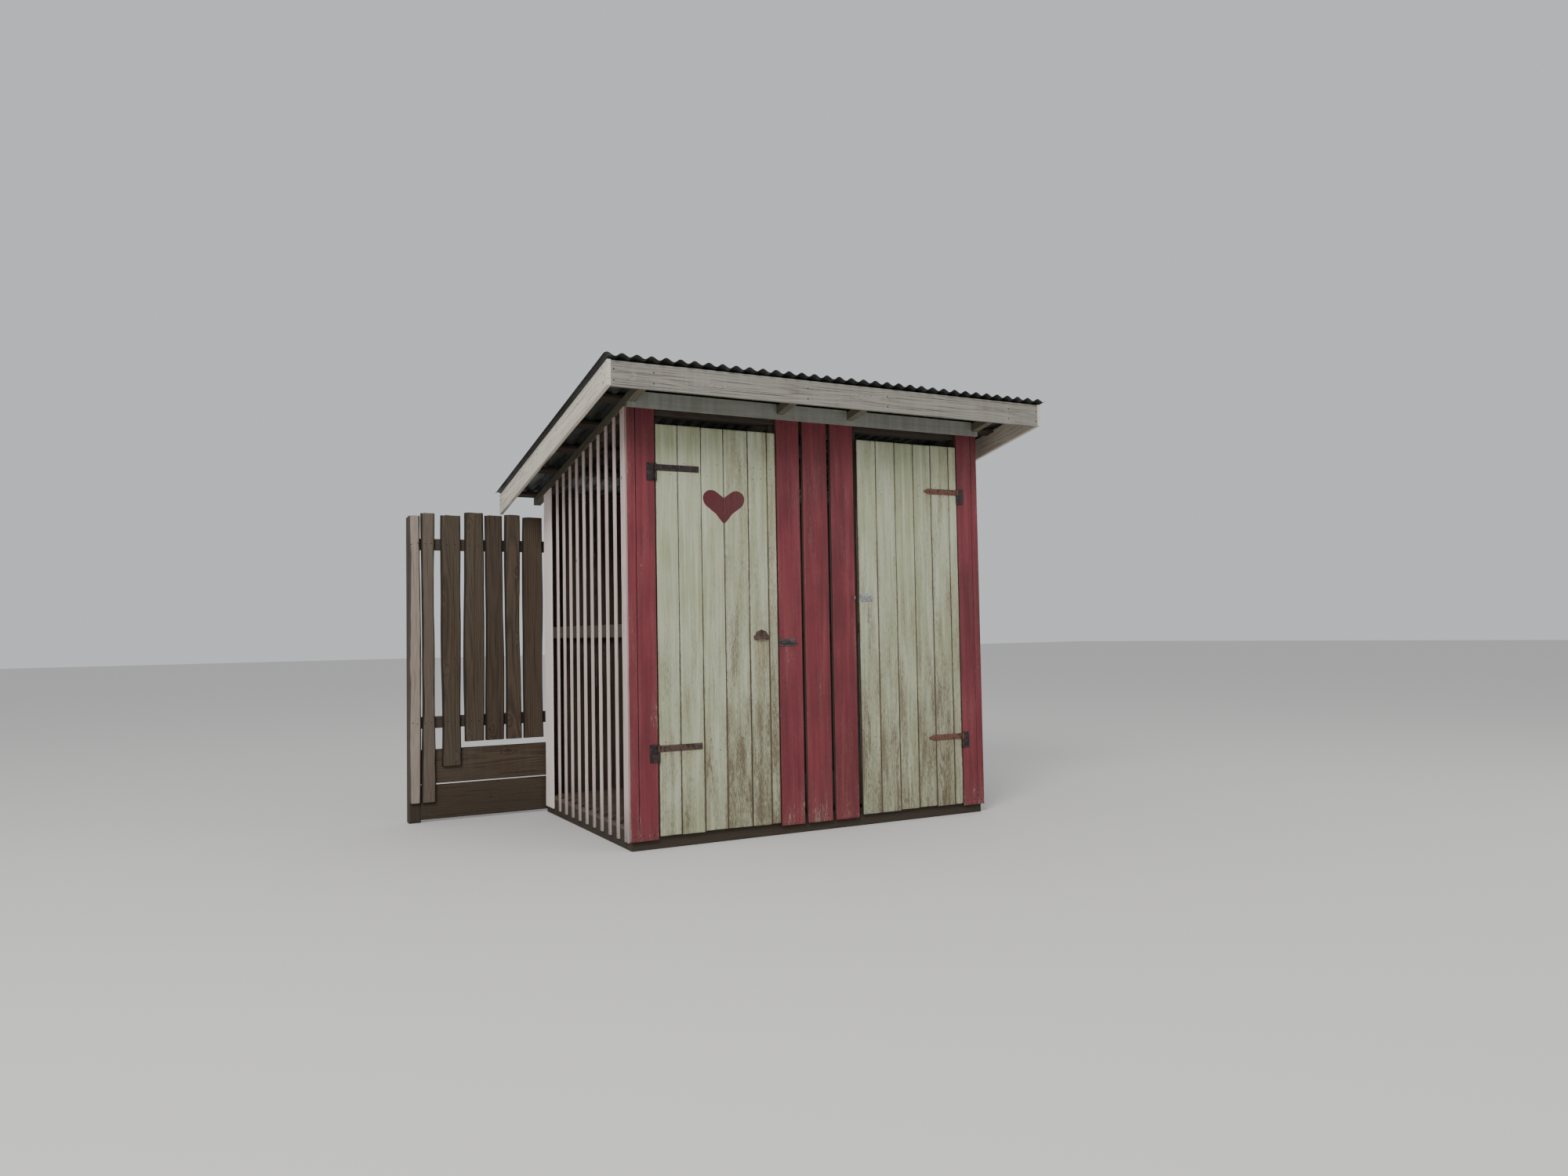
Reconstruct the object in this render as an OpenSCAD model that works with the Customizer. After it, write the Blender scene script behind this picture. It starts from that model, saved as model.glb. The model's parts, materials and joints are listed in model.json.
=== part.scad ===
// Two-door plank outhouse with a slatted side, a screen wing and a single-pitch corrugated roof.
// Millimetres. The origin is the middle of the body's footprint, on the ground.
// +X runs along the front to the right, +Y runs to the back, +Z is up.

/* [Body] */
// Width of the timber frame
body_w = 2230; // [2200:5:2300]
// Depth of the timber frame
body_d = 1523; // [1480:1:1580]
// Height of the front top plate
front_h = 2295; // [2280:5:2340]
// Fall of the roof towards the back, in degrees
roof_fall = 10.8; // [9:0.2:12]
// Depth of sills and posts across the wall
frame_t = 73; // [70:1:80]
// Height of the sills
sill_h = 95; // [90:1:100]
// Height of the top plates
plate_h = 45; // [40:1:48]

/* [Boards] */
// Thickness of the fixed outer boards
board_t = 22; // [20:1:24]
// How far the outer boards stop above the ground
board_foot = 50; // [40:5:60]
// Width of the narrow corner board
corner_narrow = 45; // [40:1:50]
// Width of the wide corner board
corner_wide = 105; // [100:1:108]

/* [Doors] */
// Width of a door leaf
door_w = 704; // [690:1:704]
// Top of the door leaves above the ground
door_top = 2200; // [2150:5:2210]
// Underside of the door leaves above the ground
door_foot = 60; // [50:5:70]
// Thickness of the door boards
leaf_t = 17; // [15:1:17]
// Thickness of the ledges and the brace behind a door
ledge_t = 22; // [20:1:24]
// Clearance on the hinge side of a door
hinge_gap = 5; // [5:0.5:6]

/* [Roof] */
// Front overhang, from the frame to the face of the fascia
eave_front = 360; // [340:2:372]
// Rear overhang of the barge boards
eave_back = 235; // [220:5:250]
// Overhang beyond each side of the body, to the face of the barge board
eave_side = 230; // [226:1:232]
// Depth of a rafter
rafter_d = 45; // [42:1:48]
// Thickness of a roof batten
batten_t = 22; // [19:1:24]
// Width of a roof batten
batten_w = 73; // [65:1:80]
// Height of the fascia and the barge boards
fascia_h = 128; // [120:1:135]
// Pitch of the corrugations
wave_p = 76; // [76]
// Height of the corrugations
wave_h = 18; // [16:1:20]
// Thickness of the roof sheets
sheet_t = 1.2; // [1:0.1:1.5]

/* [Slatted sides] */
// Spacing of the slats
slat_pitch = 130.5; // [126:0.5:132]
// Width of a slat
slat_w = 34; // [30:1:38]
// Thickness of a slat
slat_t = 10; // [8:1:10]

/* [Screen wing] */
// Length of the wing beyond the body
wing_l = 824; // [810:2:840]
// Top of the wing's boards above the ground
wing_h = 1880; // [1820:5:1900]

/* [Hidden] */
$fn = 48;

half_w = body_w / 2;
half_d = body_d / 2;
front_y = -half_d;
back_y = half_d;
// Weather face of the fixed front boards and of the doors
face_y = front_y - board_t;
// Outer face of the slats, level with the ends of the front
side_x = half_w + slat_t;
// Edges of the front panels, measured from the middle of the front
corner_gap = 2;
corner_edge = side_x - corner_narrow - corner_gap - corner_wide;
latch_gap = 6;
left_open = corner_edge - hinge_gap - door_w - latch_gap;
// Middle panel: left edge, width and gap of its three boards
middle_widths = [145, 158, 152];
middle_gap = 20;
// The middle panel stops this far short of the mirrored place of its left edge
right_board_end = -left_open + middle_widths[0] + middle_widths[1] + middle_widths[2] + 2 * middle_gap + 2;
jamb_w = 45;
axis_out = 7;
axis_x = corner_edge - hinge_gap / 2;
axis_y = face_y - axis_out;

rafter_w = 45;
barge_t = 22;
barge_x = side_x + eave_side - slat_t;
frieze_t = 20;
frieze_foot = 2276;
sheet_front = 24;
sheet_back = 20;
waves_all = 36;
waves_sheet = 13;

// Underside of the rafters at a place y
function under(y) = front_h - (y - front_y) * tan(roof_fall);
// Vertical measure of a thickness that lies square to the roof
function plumb(t) = t / cos(roof_fall);
// Play between timbers that lie along the fall of the roof
play = 0.05;
sheet_lift = plumb(rafter_d + batten_t + 2 * play);

// Slowly wandering offset of a waney board edge, different for each board
function wane(z, seed) = 3.2 * sin(z * 0.21 + seed * 97) + 2.2 * sin(z * 0.47 + seed * 41);

// A member that follows the fall of the roof, with plumb-cut ends
module along_fall(x0, x1, y0, y1, lift, high) {
    side = [
        [y0, under(y0) + lift],
        [y1, under(y1) + lift],
        [y1, under(y1) + lift + high],
        [y0, under(y0) + lift + high]
    ];
    translate([x0, 0, 0])
        rotate([90, 0, 90])
            linear_extrude(x1 - x0)
                polygon(side);
}

// An upright board across X, its top cut to a level line
module front_board(x0, w, z0, z1, y0, t) {
    translate([x0, y0, z0])
        cube([w, t, z1 - z0]);
}

// A sawn slab with two waney edges, standing upright across X
module waney_board(x0, w, z0, z1, y0, t, seed) {
    steps = 14;
    left = [for (i = [0 : steps]) let (z = z0 + (z1 - z0) * i / steps) [x0 + wane(z, seed), z]];
    right = [for (i = [steps : -1 : 0]) let (z = z0 + (z1 - z0) * i / steps) [x0 + w + wane(z, seed + 5), z]];
    translate([0, y0 + t, 0])
        rotate([90, 0, 0])
            linear_extrude(t)
                polygon(concat(left, right));
}

// Sills

module cross_sill(y0) {
    translate([-half_w, y0, 0])
        cube([body_w, frame_t, sill_h]);
}

module front_sill() {
    color("#6b6156") cross_sill(front_y);
}

module back_sill() {
    color("#6b6156") cross_sill(back_y - frame_t);
}

module long_sill(x0) {
    translate([x0, front_y + frame_t, 0])
        cube([frame_t, body_d - 2 * frame_t, sill_h]);
}

module side_sills() {
    color("#6b6156") {
        long_sill(-half_w);
        long_sill(half_w - frame_t);
    }
}

module floor_joist() {
    color("#6b6156") long_sill(-frame_t / 2);
}

// Floor

floor_t = 22;
floor_count = 11;
floor_gap = 4;
floor_depth = body_d - 2 * frame_t - 2 * floor_gap;
floor_pitch = (floor_depth + floor_gap) / floor_count;

module floor_boards() {
    color("#8a7a66")
        for (i = [0 : floor_count - 1])
            translate([-half_w, front_y + frame_t + floor_gap + i * floor_pitch, sill_h])
                cube([body_w, floor_pitch - floor_gap, floor_t]);
}

// Frame

back_plate_top = under(back_y - frame_t);

module post(x0, y0, w, z1) {
    translate([x0, y0, sill_h])
        cube([w, frame_t, z1 - sill_h]);
}

module corner_posts() {
    color("#77695a") {
        for (x0 = [-half_w, half_w - frame_t]) {
            post(x0, front_y, frame_t, front_h - plate_h);
            post(x0, back_y - frame_t, frame_t, back_plate_top - plate_h);
        }
        post(-frame_t / 2, back_y - frame_t, frame_t, back_plate_top - plate_h);
    }
}

// Left edges of the four jamb posts
jamb_xs = [-corner_edge - jamb_w, -left_open, right_board_end - jamb_w, corner_edge];

module jamb_posts() {
    color("#77695a")
        for (x0 = jamb_xs)
            post(x0, front_y, jamb_w, front_h - plate_h);
}

module plate(y0, top) {
    translate([-half_w, y0, top - plate_h])
        cube([body_w, frame_t, plate_h]);
}

module front_plate() {
    color("#77695a") plate(front_y, front_h);
}

module back_plate() {
    color("#77695a") plate(back_y - frame_t, back_plate_top);
}

rail_t = 45;
rail_h = 70;
rail_z = 1090;

module side_rail_pair(x0) {
    along_fall(x0, x0 + rail_t, front_y + frame_t, back_y - frame_t, -plumb(rail_t + play), plumb(rail_t));
    translate([x0, front_y + frame_t, rail_z])
        cube([rail_t, body_d - 2 * frame_t, rail_h]);
}

module side_rails() {
    color("#7d6f60") {
        side_rail_pair(-half_w);
        side_rail_pair(half_w - rail_t);
    }
}

module back_rail() {
    color("#7d6f60")
        for (x0 = [-half_w + frame_t, frame_t / 2])
            translate([x0, back_y - rail_t, rail_z])
                cube([half_w - 1.5 * frame_t, rail_t, rail_h]);
}

// Roof frame

rafter_xs = [-side_x, jamb_xs[1], jamb_xs[2], side_x - rafter_w];
fascia_back = front_y - eave_front + board_t;
rafter_end = back_y + eave_back - 15;

module rafters() {
    color("#7b7568")
        difference() {
            for (x0 = rafter_xs)
                along_fall(x0, x0 + rafter_w, fascia_back, rafter_end, 0, plumb(rafter_d));
            plate(front_y, front_h);
            plate(back_y - frame_t, back_plate_top);
        }
}

// Front edges of the roof battens along the run of the roof
batten_first = fascia_back + 4;
batten_step = 381;
batten_count = 5;
batten_last = rafter_end - batten_w - 4;

module batten(y0) {
    translate([-barge_x + barge_t, y0, under(y0) + plumb(rafter_d + play)])
        rotate([-roof_fall, 0, 0])
            cube([2 * (barge_x - barge_t), batten_w, batten_t]);
}

module roof_battens() {
    color("#80786a") {
        for (i = [0 : batten_count - 1])
            batten(batten_first + i * batten_step);
        batten(batten_last);
    }
}

// Corrugated sheets

sheet_x = -waves_all * wave_p / 2;
sheet_y = front_y - eave_front - sheet_front;
sheet_run = (body_d + eave_front + eave_back + sheet_front + sheet_back) / cos(roof_fall);
wave_steps = 8;

// Height of the wave at a share of its pitch, with the crest a quarter in
function wave_z(u) = wave_h / 2 * (1 + sin(360 * u));

module corrugated(first, count, lift) {
    n = count * wave_steps;
    top = [for (i = [0 : n]) [i * wave_p / wave_steps, wave_z(i / wave_steps) + sheet_t]];
    low = [for (i = [n : -1 : 0]) [i * wave_p / wave_steps, wave_z(i / wave_steps)]];
    translate([sheet_x + first * wave_p, sheet_y, under(sheet_y) + sheet_lift + lift])
        rotate([-roof_fall, 0, 0])
            translate([0, sheet_run, 0])
                rotate([90, 0, 0])
                    linear_extrude(sheet_run)
                        polygon(concat(top, low));
}

module roof_sheet_left() {
    color("#3f4240") corrugated(0, waves_sheet, 0);
}

// The middle sheet rides on its neighbours' last waves
lap_play = 0.2;

module roof_sheet_middle() {
    color("#454845") corrugated(waves_sheet - 1, waves_sheet, plumb(sheet_t + lap_play));
}

module roof_sheet_right() {
    color("#3f4240") corrugated(2 * (waves_sheet - 1), waves_all - 2 * (waves_sheet - 1), 0);
}

// Roof trim

fascia_top = under(front_y - eave_front) + sheet_lift - 8;

module fascia() {
    color("#8b857c")
        translate([-barge_x + barge_t, front_y - eave_front, fascia_top - fascia_h])
            cube([2 * (barge_x - barge_t), board_t, fascia_h]);
}

module barge_board(x0) {
    along_fall(x0, x0 + barge_t, front_y - eave_front, back_y + eave_back, sheet_lift - 5 - fascia_h, fascia_h);
}

module left_barge_board() {
    color("#b8b0a8") barge_board(-barge_x);
}

module right_barge_board() {
    color("#b8b0a8") barge_board(barge_x - barge_t);
}

frieze_top = under(face_y) + sheet_lift - 10;

module frieze() {
    notch = 1;
    color("#8f8d7d")
        difference() {
            translate([-side_x, face_y - frieze_t, frieze_foot])
                cube([2 * side_x, frieze_t, frieze_top - frieze_foot]);
            for (x0 = rafter_xs)
                along_fall(x0 - notch, x0 + rafter_w + notch, fascia_back, front_y, -notch, 2 * fascia_h);
        }
}

// Front boards

board_top = front_h - 4;

module left_corner_boards() {
    color("#84404a") {
        front_board(-side_x, corner_narrow, board_foot, board_top, face_y, board_t);
        front_board(-corner_edge - corner_wide, corner_wide, board_foot, board_top, face_y, board_t);
    }
}

module right_corner_boards() {
    color("#84404a") {
        front_board(corner_edge, corner_wide, board_foot, board_top, face_y, board_t);
        front_board(side_x - corner_narrow, corner_narrow, board_foot, board_top, face_y, board_t);
    }
}

middle_xs = [
    -left_open,
    -left_open + middle_widths[0] + middle_gap,
    right_board_end - middle_widths[2]
];

module middle_boards() {
    color("#8a3f4a")
        for (i = [0 : 2])
            front_board(middle_xs[i], middle_widths[i], board_foot, board_top, face_y, board_t);
}

// Slatted sides

slat_foot = 40;
slat_count = 9;
slat_first_w = 62;
slat_first_y = face_y + 42;
slat_y0 = face_y + 75.5;

// One slat between the sill and the rafter, its head cut to the fall
module slat(x0, y0, w) {
    clear = 2;
    side = [
        [y0, slat_foot],
        [y0 + w, slat_foot],
        [y0 + w, under(y0 + w) - clear],
        [y0, under(y0) - clear]
    ];
    translate([x0, 0, 0])
        rotate([90, 0, 90])
            linear_extrude(slat_t)
                polygon(side);
}

module slats(x0) {
    slat(x0, slat_first_y, slat_first_w);
    for (i = [1 : slat_count])
        slat(x0, slat_y0 + i * slat_pitch - slat_w / 2, slat_w);
}

module left_slats() {
    color("#b39c99") slats(-side_x);
}

module right_slats() {
    color("#b39c99") slats(half_w);
}

end_w = 165;

// The last board of a side, with a waney rear edge
module side_end_board(x0, seed) {
    steps = 12;
    y0 = back_y - end_w;
    top = under(back_y) - 4;
    rear = [
        for (i = [0 : steps])
            let (z = slat_foot + (top - slat_foot) * i / steps)
            [back_y - 8 + wane(z, seed), z]
    ];
    translate([x0, 0, 0])
        rotate([90, 0, 90])
            linear_extrude(slat_t)
                polygon(concat([[y0, under(y0) - 4], [y0, slat_foot]], rear));
}

module side_end_boards() {
    color("#c9b0ac") {
        side_end_board(-side_x, 2);
        side_end_board(half_w, 7);
    }
}

// Back wall

back_widths = [146, 158, 128, 152, 139, 165, 134, 149, 156, 131, 162, 143, 150, 138];
function sum_to(list, n) = n == 0 ? 0 : list[n - 1] + sum_to(list, n - 1);
back_total = sum_to(back_widths, len(back_widths));
back_gap = (body_w - 12 - back_total) / (len(back_widths) - 1);
back_top = under(back_y + board_t) - 6;

module back_boards() {
    color("#6e5f4e")
        for (i = [0 : len(back_widths) - 1])
            waney_board(-half_w + 6 + sum_to(back_widths, i) + i * back_gap, back_widths[i],
                board_foot, back_top, back_y, board_t, i);
}

// Screen wing

wing_x = -side_x - wing_l;
// Left edge from the wing's end, width, foot and drop of the head of each board
wing_slabs = [
    [0, 70, 120, 30],
    [78, 70, 120, 12],
    [197, 106, 330, 22],
    [334, 116, 470, 0],
    [458, 110, 470, 14],
    [582, 88, 470, 6],
    [698, 122, 470, 18]
];
wing_post_w = 70;
wing_y = back_y + board_t;

module wing_boards() {
    color("#5f5042") {
        for (i = [0 : len(wing_slabs) - 1])
            let (s = wing_slabs[i])
            waney_board(wing_x + s[0], s[1], s[2], wing_h - s[3], back_y, board_t, i + 20);
    }
}

module wing_post() {
    color("#6b6156")
        translate([wing_x, wing_y, 0])
            cube([wing_post_w, wing_post_w, wing_h - 40]);
}

wing_rail_over = 360;
wing_rail_zs = [560, 1640];

module wing_rails() {
    color("#6b6156")
        for (z0 = wing_rail_zs)
            translate([wing_x + wing_post_w, wing_y, z0])
                cube([wing_l - wing_post_w + wing_rail_over, rail_t, rail_h]);
}

wing_plank_h = 205;

module wing_base_boards() {
    color("#4d443a")
        for (i = [0 : 1])
            translate([wing_x + wing_post_w, wing_y, 15 + i * (wing_plank_h + 8)])
                cube([wing_l - wing_post_w + 60, board_t, wing_plank_h]);
}

// Doors

leaf_joint = 2;
// Board widths of the left leaf from its hinge side, and of the right leaf from its free side
left_leaf = [124, 134, 131, 146, 117];
right_leaf = [130, 131, 130, 126, 131];
door_left_x = -corner_edge + hinge_gap;
door_right_x = corner_edge - hinge_gap - door_w;

module leaf_boards(x0, widths) {
    for (i = [0 : len(widths)]) {
        start = sum_to(widths, i);
        w = i < len(widths) ? widths[i] - leaf_joint : door_w - start;
        front_board(x0 + start, w, door_foot, door_top, face_y, leaf_t);
    }
}

module left_door_boards() {
    color("#b2b8a4") leaf_boards(door_left_x, left_leaf);
}

module right_door_boards() {
    color("#aeb3a0") leaf_boards(door_right_x, right_leaf);
}

ledge_h = 95;
ledge_inset = 42;
ledge_y = face_y + leaf_t;
brace_w = 90;
left_strap_zs = [514, 1972];
right_strap_zs = [466, 1924];

// Two ledges and a brace that rises from the hinge side, for a leaf hinged at its left
module ledges(zs) {
    run = door_w - 2 * ledge_inset;
    low = zs[0] + ledge_h / 2;
    high = zs[1] - ledge_h / 2;
    translate([ledge_inset, ledge_y, 0]) {
        for (z = zs)
            translate([0, 0, z - ledge_h / 2])
                cube([run, ledge_t, ledge_h]);
        translate([0, ledge_t, 0])
            rotate([90, 0, 0])
                linear_extrude(ledge_t)
                    polygon([[0, low], [brace_w, low], [run, high], [run - brace_w, high]]);
    }
}

module left_door_ledges() {
    color("#8a7a66")
        translate([door_left_x, 0, 0])
            ledges(left_strap_zs);
}

module right_door_ledges() {
    color("#8a7a66")
        translate([door_right_x + door_w, 0, 0])
            mirror([1, 0, 0])
                ledges(right_strap_zs);
}

// Hinges

strap_t = 4;
strap_h = 33;
strap_len = 246;
knuckle_r = 6;
pin_r = 3;
pin_play = 0.3;
plate_w = 45;
plate_t = 3;
plate_rise = 6;
plate_drop = 54;

// The strap of a door hinge, centred on its height, running to the right from the pin to a blunt or pointed end
module strap(pointed) {
    half = strap_h / 2;
    corner = 3;
    tip = 34;
    blunt = [[strap_len - corner, half], [strap_len, half - corner]];
    arrow = [[strap_len - tip, half], [strap_len - tip + 2, half - 3], [strap_len - tip * 0.4, half * 0.5]];
    upper = concat([[0, half]], pointed ? arrow : blunt);
    flat = concat(
        upper,
        pointed ? [[strap_len, 0]] : [],
        [for (i = [len(upper) - 1:-1:0]) [upper[i][0], -upper[i][1]]]
    );
    difference() {
        union() {
            translate([0, axis_out, 0])
                rotate([90, 0, 0])
                    linear_extrude(strap_t)
                        polygon(flat);
            translate([0, 0, -strap_h / 2])
                cylinder(r = knuckle_r, h = strap_h);
        }
        translate([0, 0, -strap_h])
            cylinder(r = pin_r + pin_play, h = 2 * strap_h);
    }
}

// The fixed half: a plate to the left of the pin, its knuckle below the strap, and the headed pin
module hinge_plate() {
    gap = 1;
    low = -strap_h / 2 - plate_drop;
    translate([-hinge_gap / 2 - plate_w, axis_out - plate_t, low])
        cube([plate_w + hinge_gap / 2, plate_t, plate_drop - gap]);
    translate([-hinge_gap / 2 - plate_w, axis_out - plate_t, low])
        cube([plate_w - 6, plate_t, strap_h + plate_drop + plate_rise]);
    translate([0, 0, low])
        cylinder(r = knuckle_r, h = plate_drop - gap);
    translate([0, 0, low])
        cylinder(r = pin_r, h = plate_drop + strap_h + gap);
    translate([0, 0, strap_h / 2 + gap])
        cylinder(r = knuckle_r, h = 3);
}

module left_door_straps() {
    color("#4a3328")
        for (z = left_strap_zs)
            translate([-axis_x, axis_y, z])
                strap(false);
}

module left_hinge_plates() {
    color("#3b2c25")
        for (z = left_strap_zs)
            translate([-axis_x, axis_y, z])
                hinge_plate();
}

module right_door_straps() {
    color("#7a4334")
        for (z = right_strap_zs)
            translate([axis_x, axis_y, z])
                mirror([1, 0, 0])
                    strap(true);
}

module right_hinge_plates() {
    color("#3b2c25")
        for (z = right_strap_zs)
            translate([axis_x, axis_y, z])
                mirror([1, 0, 0])
                    hinge_plate();
}

// Cup pull on the left door: a domed shell, open below, on a flat flange with side tips and a crest

pull_x = -366;
pull_z = 1072;
pull_r = 49;
pull_depth = 24;
pull_wall = 2.5;
pull_foot = -8;

module dome(r, depth) {
    // Radius of the sphere whose cap has this base radius and depth
    ball = (r * r + depth * depth) / (2 * depth);
    intersection() {
        translate([0, 0, depth - ball])
            sphere(r = ball, $fn = 96);
        cylinder(r = r + 1, h = depth + 1);
    }
}

module left_door_pull() {
    rim_t = 2;
    shell_r = pull_r - 6;
    shell_drop = 15;
    arch_rise = 8;
    arch_half = 30;
    arch_r = (arch_half * arch_half + arch_rise * arch_rise) / (2 * arch_rise);
    side = [[44, pull_foot], [pull_r, 10], [42, 17], [36, 22], [33, 30], [26, 38], [12, 43], [0, pull_r]];
    color("#6a4636")
        translate([pull_x, face_y, pull_z])
            rotate([90, 0, 0]) {
                linear_extrude(rim_t)
                    difference() {
                        polygon(concat(side, [for (i = [len(side) - 2:-1:0]) [-side[i][0], side[i][1]]]));
                        translate([0, -shell_drop])
                            circle(r = shell_r - pull_wall);
                    }
                difference() {
                    translate([0, -shell_drop, 0])
                        dome(shell_r, pull_depth);
                    translate([0, -shell_drop, -pull_wall])
                        dome(shell_r - pull_wall * 0.4, pull_depth);
                    translate([-pull_r - 1, pull_foot - 2 * pull_r, -1])
                        cube([2 * pull_r + 2, 2 * pull_r, pull_depth + 2]);
                    translate([0, pull_foot + arch_rise - arch_r, rim_t])
                        cylinder(r = arch_r, h = pull_depth);
                }
            }
}

// Barrel bolt beside the left door

bolt_x = -256;
bolt_z = 1047;
bolt_plate_w = 98;
bolt_plate_h = 41;
bolt_plate_t = 2;
bolt_r = 5;
bolt_out = 9;
bolt_len = 101;
bolt_play = 0.4;
bolt_start = 5;
knob_at = 56;

module bolt_keeper() {
    guide_w = 12;
    guide_h = 20;
    guide_out = 17;
    color("#9a9c98")
        translate([bolt_x, face_y, bolt_z])
            difference() {
                union() {
                    translate([0, -bolt_plate_t, -bolt_plate_h / 2])
                        cube([bolt_plate_w, bolt_plate_t, bolt_plate_h]);
                    for (x0 = [6, 66])
                        translate([x0, -guide_out, -guide_h / 2])
                            cube([guide_w, guide_out - bolt_plate_t / 2, guide_h]);
                }
                translate([-10, -bolt_out, 0])
                    rotate([0, 90, 0])
                        cylinder(r = bolt_r + bolt_play, h = bolt_plate_w + 20);
            }
}

module bolt_bar() {
    color("#a8aaa6")
        translate([bolt_x, face_y - bolt_out, bolt_z]) {
            translate([bolt_start, 0, 0])
                rotate([0, 90, 0])
                    cylinder(r = bolt_r, h = bolt_len);
            translate([knob_at, 0, 0])
                rotate([90, 0, 0])
                    cylinder(r = 3.5, h = 20);
            translate([knob_at, -20, 0])
                sphere(r = 5.5);
        }
}

// Hasp plate on the right door and its staple on the middle board

hasp_x = 269;
hasp_z = 1292;

module right_door_hasp() {
    hasp_w = 85;
    hasp_h = 43;
    hasp_t = 2.5;
    color("#8f9290")
        translate([hasp_x, face_y, hasp_z]) {
            rotate([90, 0, 0])
                linear_extrude(hasp_t)
                    polygon([
                        [0, -hasp_h / 2 + 8], [8, -hasp_h / 2], [hasp_w, -hasp_h / 2],
                        [hasp_w, hasp_h / 2], [8, hasp_h / 2], [0, hasp_h / 2 - 8]
                    ]);
            translate([hasp_w * 0.55, -hasp_t - 2, -hasp_h / 2])
                cylinder(r = 4, h = hasp_h);
        }
}

module hasp_staple() {
    staple_r = 11;
    wire_r = 2.5;
    color("#b5b7b3")
        translate([right_board_end - 10, face_y, hasp_z])
            rotate([0, 90, 0])
                rotate([0, 0, 180])
                    rotate_extrude(angle = 180)
                        translate([staple_r, 0, 0])
                            circle(r = wire_r, $fn = 24);
}

front_sill();
back_sill();
side_sills();
floor_joist();
floor_boards();
corner_posts();
jamb_posts();
front_plate();
back_plate();
side_rails();
back_rail();
rafters();
roof_battens();
roof_sheet_left();
roof_sheet_middle();
roof_sheet_right();
fascia();
left_barge_board();
right_barge_board();
frieze();
left_corner_boards();
middle_boards();
right_corner_boards();
left_slats();
right_slats();
side_end_boards();
back_boards();
wing_post();
wing_rails();
wing_boards();
wing_base_boards();
left_door_boards();
left_door_ledges();
left_door_straps();
left_door_pull();
right_door_boards();
right_door_ledges();
right_door_straps();
right_door_hasp();
left_hinge_plates();
right_hinge_plates();
bolt_keeper();
bolt_bar();
hasp_staple();
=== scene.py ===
# %% [markdown]
# # A plank outhouse with two doors
#
# The solids of the outhouse come packed from the CAD step, all in one frame, in metres. This lesson turns
# them into what a carpenter would leave behind after forty years of weather: sawn boards with rounded
# arrises, worn distemper, rusty straps and dark corrugated sheets. The frame is loaded first, because every
# piece below takes its place from it.

# %% Load the frame
import json
import math
import random

import bmesh
import bpy
import numpy as np
from mathutils import Matrix, Vector, noise


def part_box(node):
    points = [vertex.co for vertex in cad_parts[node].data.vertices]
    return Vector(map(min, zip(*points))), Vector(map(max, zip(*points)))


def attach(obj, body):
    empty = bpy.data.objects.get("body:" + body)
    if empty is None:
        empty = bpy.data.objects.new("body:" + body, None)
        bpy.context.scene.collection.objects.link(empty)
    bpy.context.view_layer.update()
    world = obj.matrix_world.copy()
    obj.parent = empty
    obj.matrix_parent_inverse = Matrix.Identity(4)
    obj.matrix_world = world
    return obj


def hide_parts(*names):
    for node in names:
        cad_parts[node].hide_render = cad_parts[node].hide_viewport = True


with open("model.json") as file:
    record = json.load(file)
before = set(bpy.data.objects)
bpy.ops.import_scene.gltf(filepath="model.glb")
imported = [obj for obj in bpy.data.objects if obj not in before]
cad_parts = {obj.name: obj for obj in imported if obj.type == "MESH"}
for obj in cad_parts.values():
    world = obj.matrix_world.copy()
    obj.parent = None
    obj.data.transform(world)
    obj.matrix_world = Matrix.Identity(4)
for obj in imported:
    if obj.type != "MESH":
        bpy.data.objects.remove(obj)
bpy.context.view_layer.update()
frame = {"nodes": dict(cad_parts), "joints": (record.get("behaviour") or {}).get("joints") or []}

# %% [markdown]
# ## Camera
#
# A photograph fixes where its camera stood: straight edges that are square to each other in the real thing
# meet at known angles in the picture. The place, turn and lens below were fitted to the edges of doors,
# boards and eaves. The place is counted from the lower left corner of the front, so that it follows the
# frame. The other way, moving a camera by eye, never settles, because a wrong lens hides behind a wrong
# distance.

# %% Camera
PHOTO_WIDTH, FOCAL_PIXELS, SENSOR = 2000, 1396.5, 36.0
TO_THE_LEFT, BEFORE_FRONT, EYE_HIGH = 1.943, 5.302, 1.10
TURN, RISE, LEAN = (math.radians(a) for a in (28.224, 2.338, -1.014))
front_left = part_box("left_corner_boards")[0]
eye = Vector((front_left.x - TO_THE_LEFT, front_left.y - BEFORE_FRONT, EYE_HIGH))
ahead = Vector((math.sin(TURN) * math.cos(RISE), math.cos(TURN) * math.cos(RISE), math.sin(RISE)))
level = Vector((math.cos(TURN), -math.sin(TURN), 0.0))
upward = level.cross(ahead)
right = level * math.cos(LEAN) + upward * math.sin(LEAN)
above = upward * math.cos(LEAN) - level * math.sin(LEAN)


def place_of(start, *axes):
    """The place whose own origin is at start and whose own x, y and z run along three axes."""
    return Matrix.Translation(start) @ Matrix(axes).transposed().to_4x4()


def link(name, data):
    made = bpy.data.objects.new(name, data)
    bpy.context.scene.collection.objects.link(made)
    return made


camera = link("camera", bpy.data.cameras.new("camera"))
camera.matrix_world = place_of(eye, right, above, -ahead)
camera.data.sensor_width = SENSOR
camera.data.lens = SENSOR * FOCAL_PIXELS / PHOTO_WIDTH
camera.data.clip_end = 200.0
bpy.context.scene.camera = camera
print("lens", round(camera.data.lens, 2), "mm, eye at", [round(c, 3) for c in eye])

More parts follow.
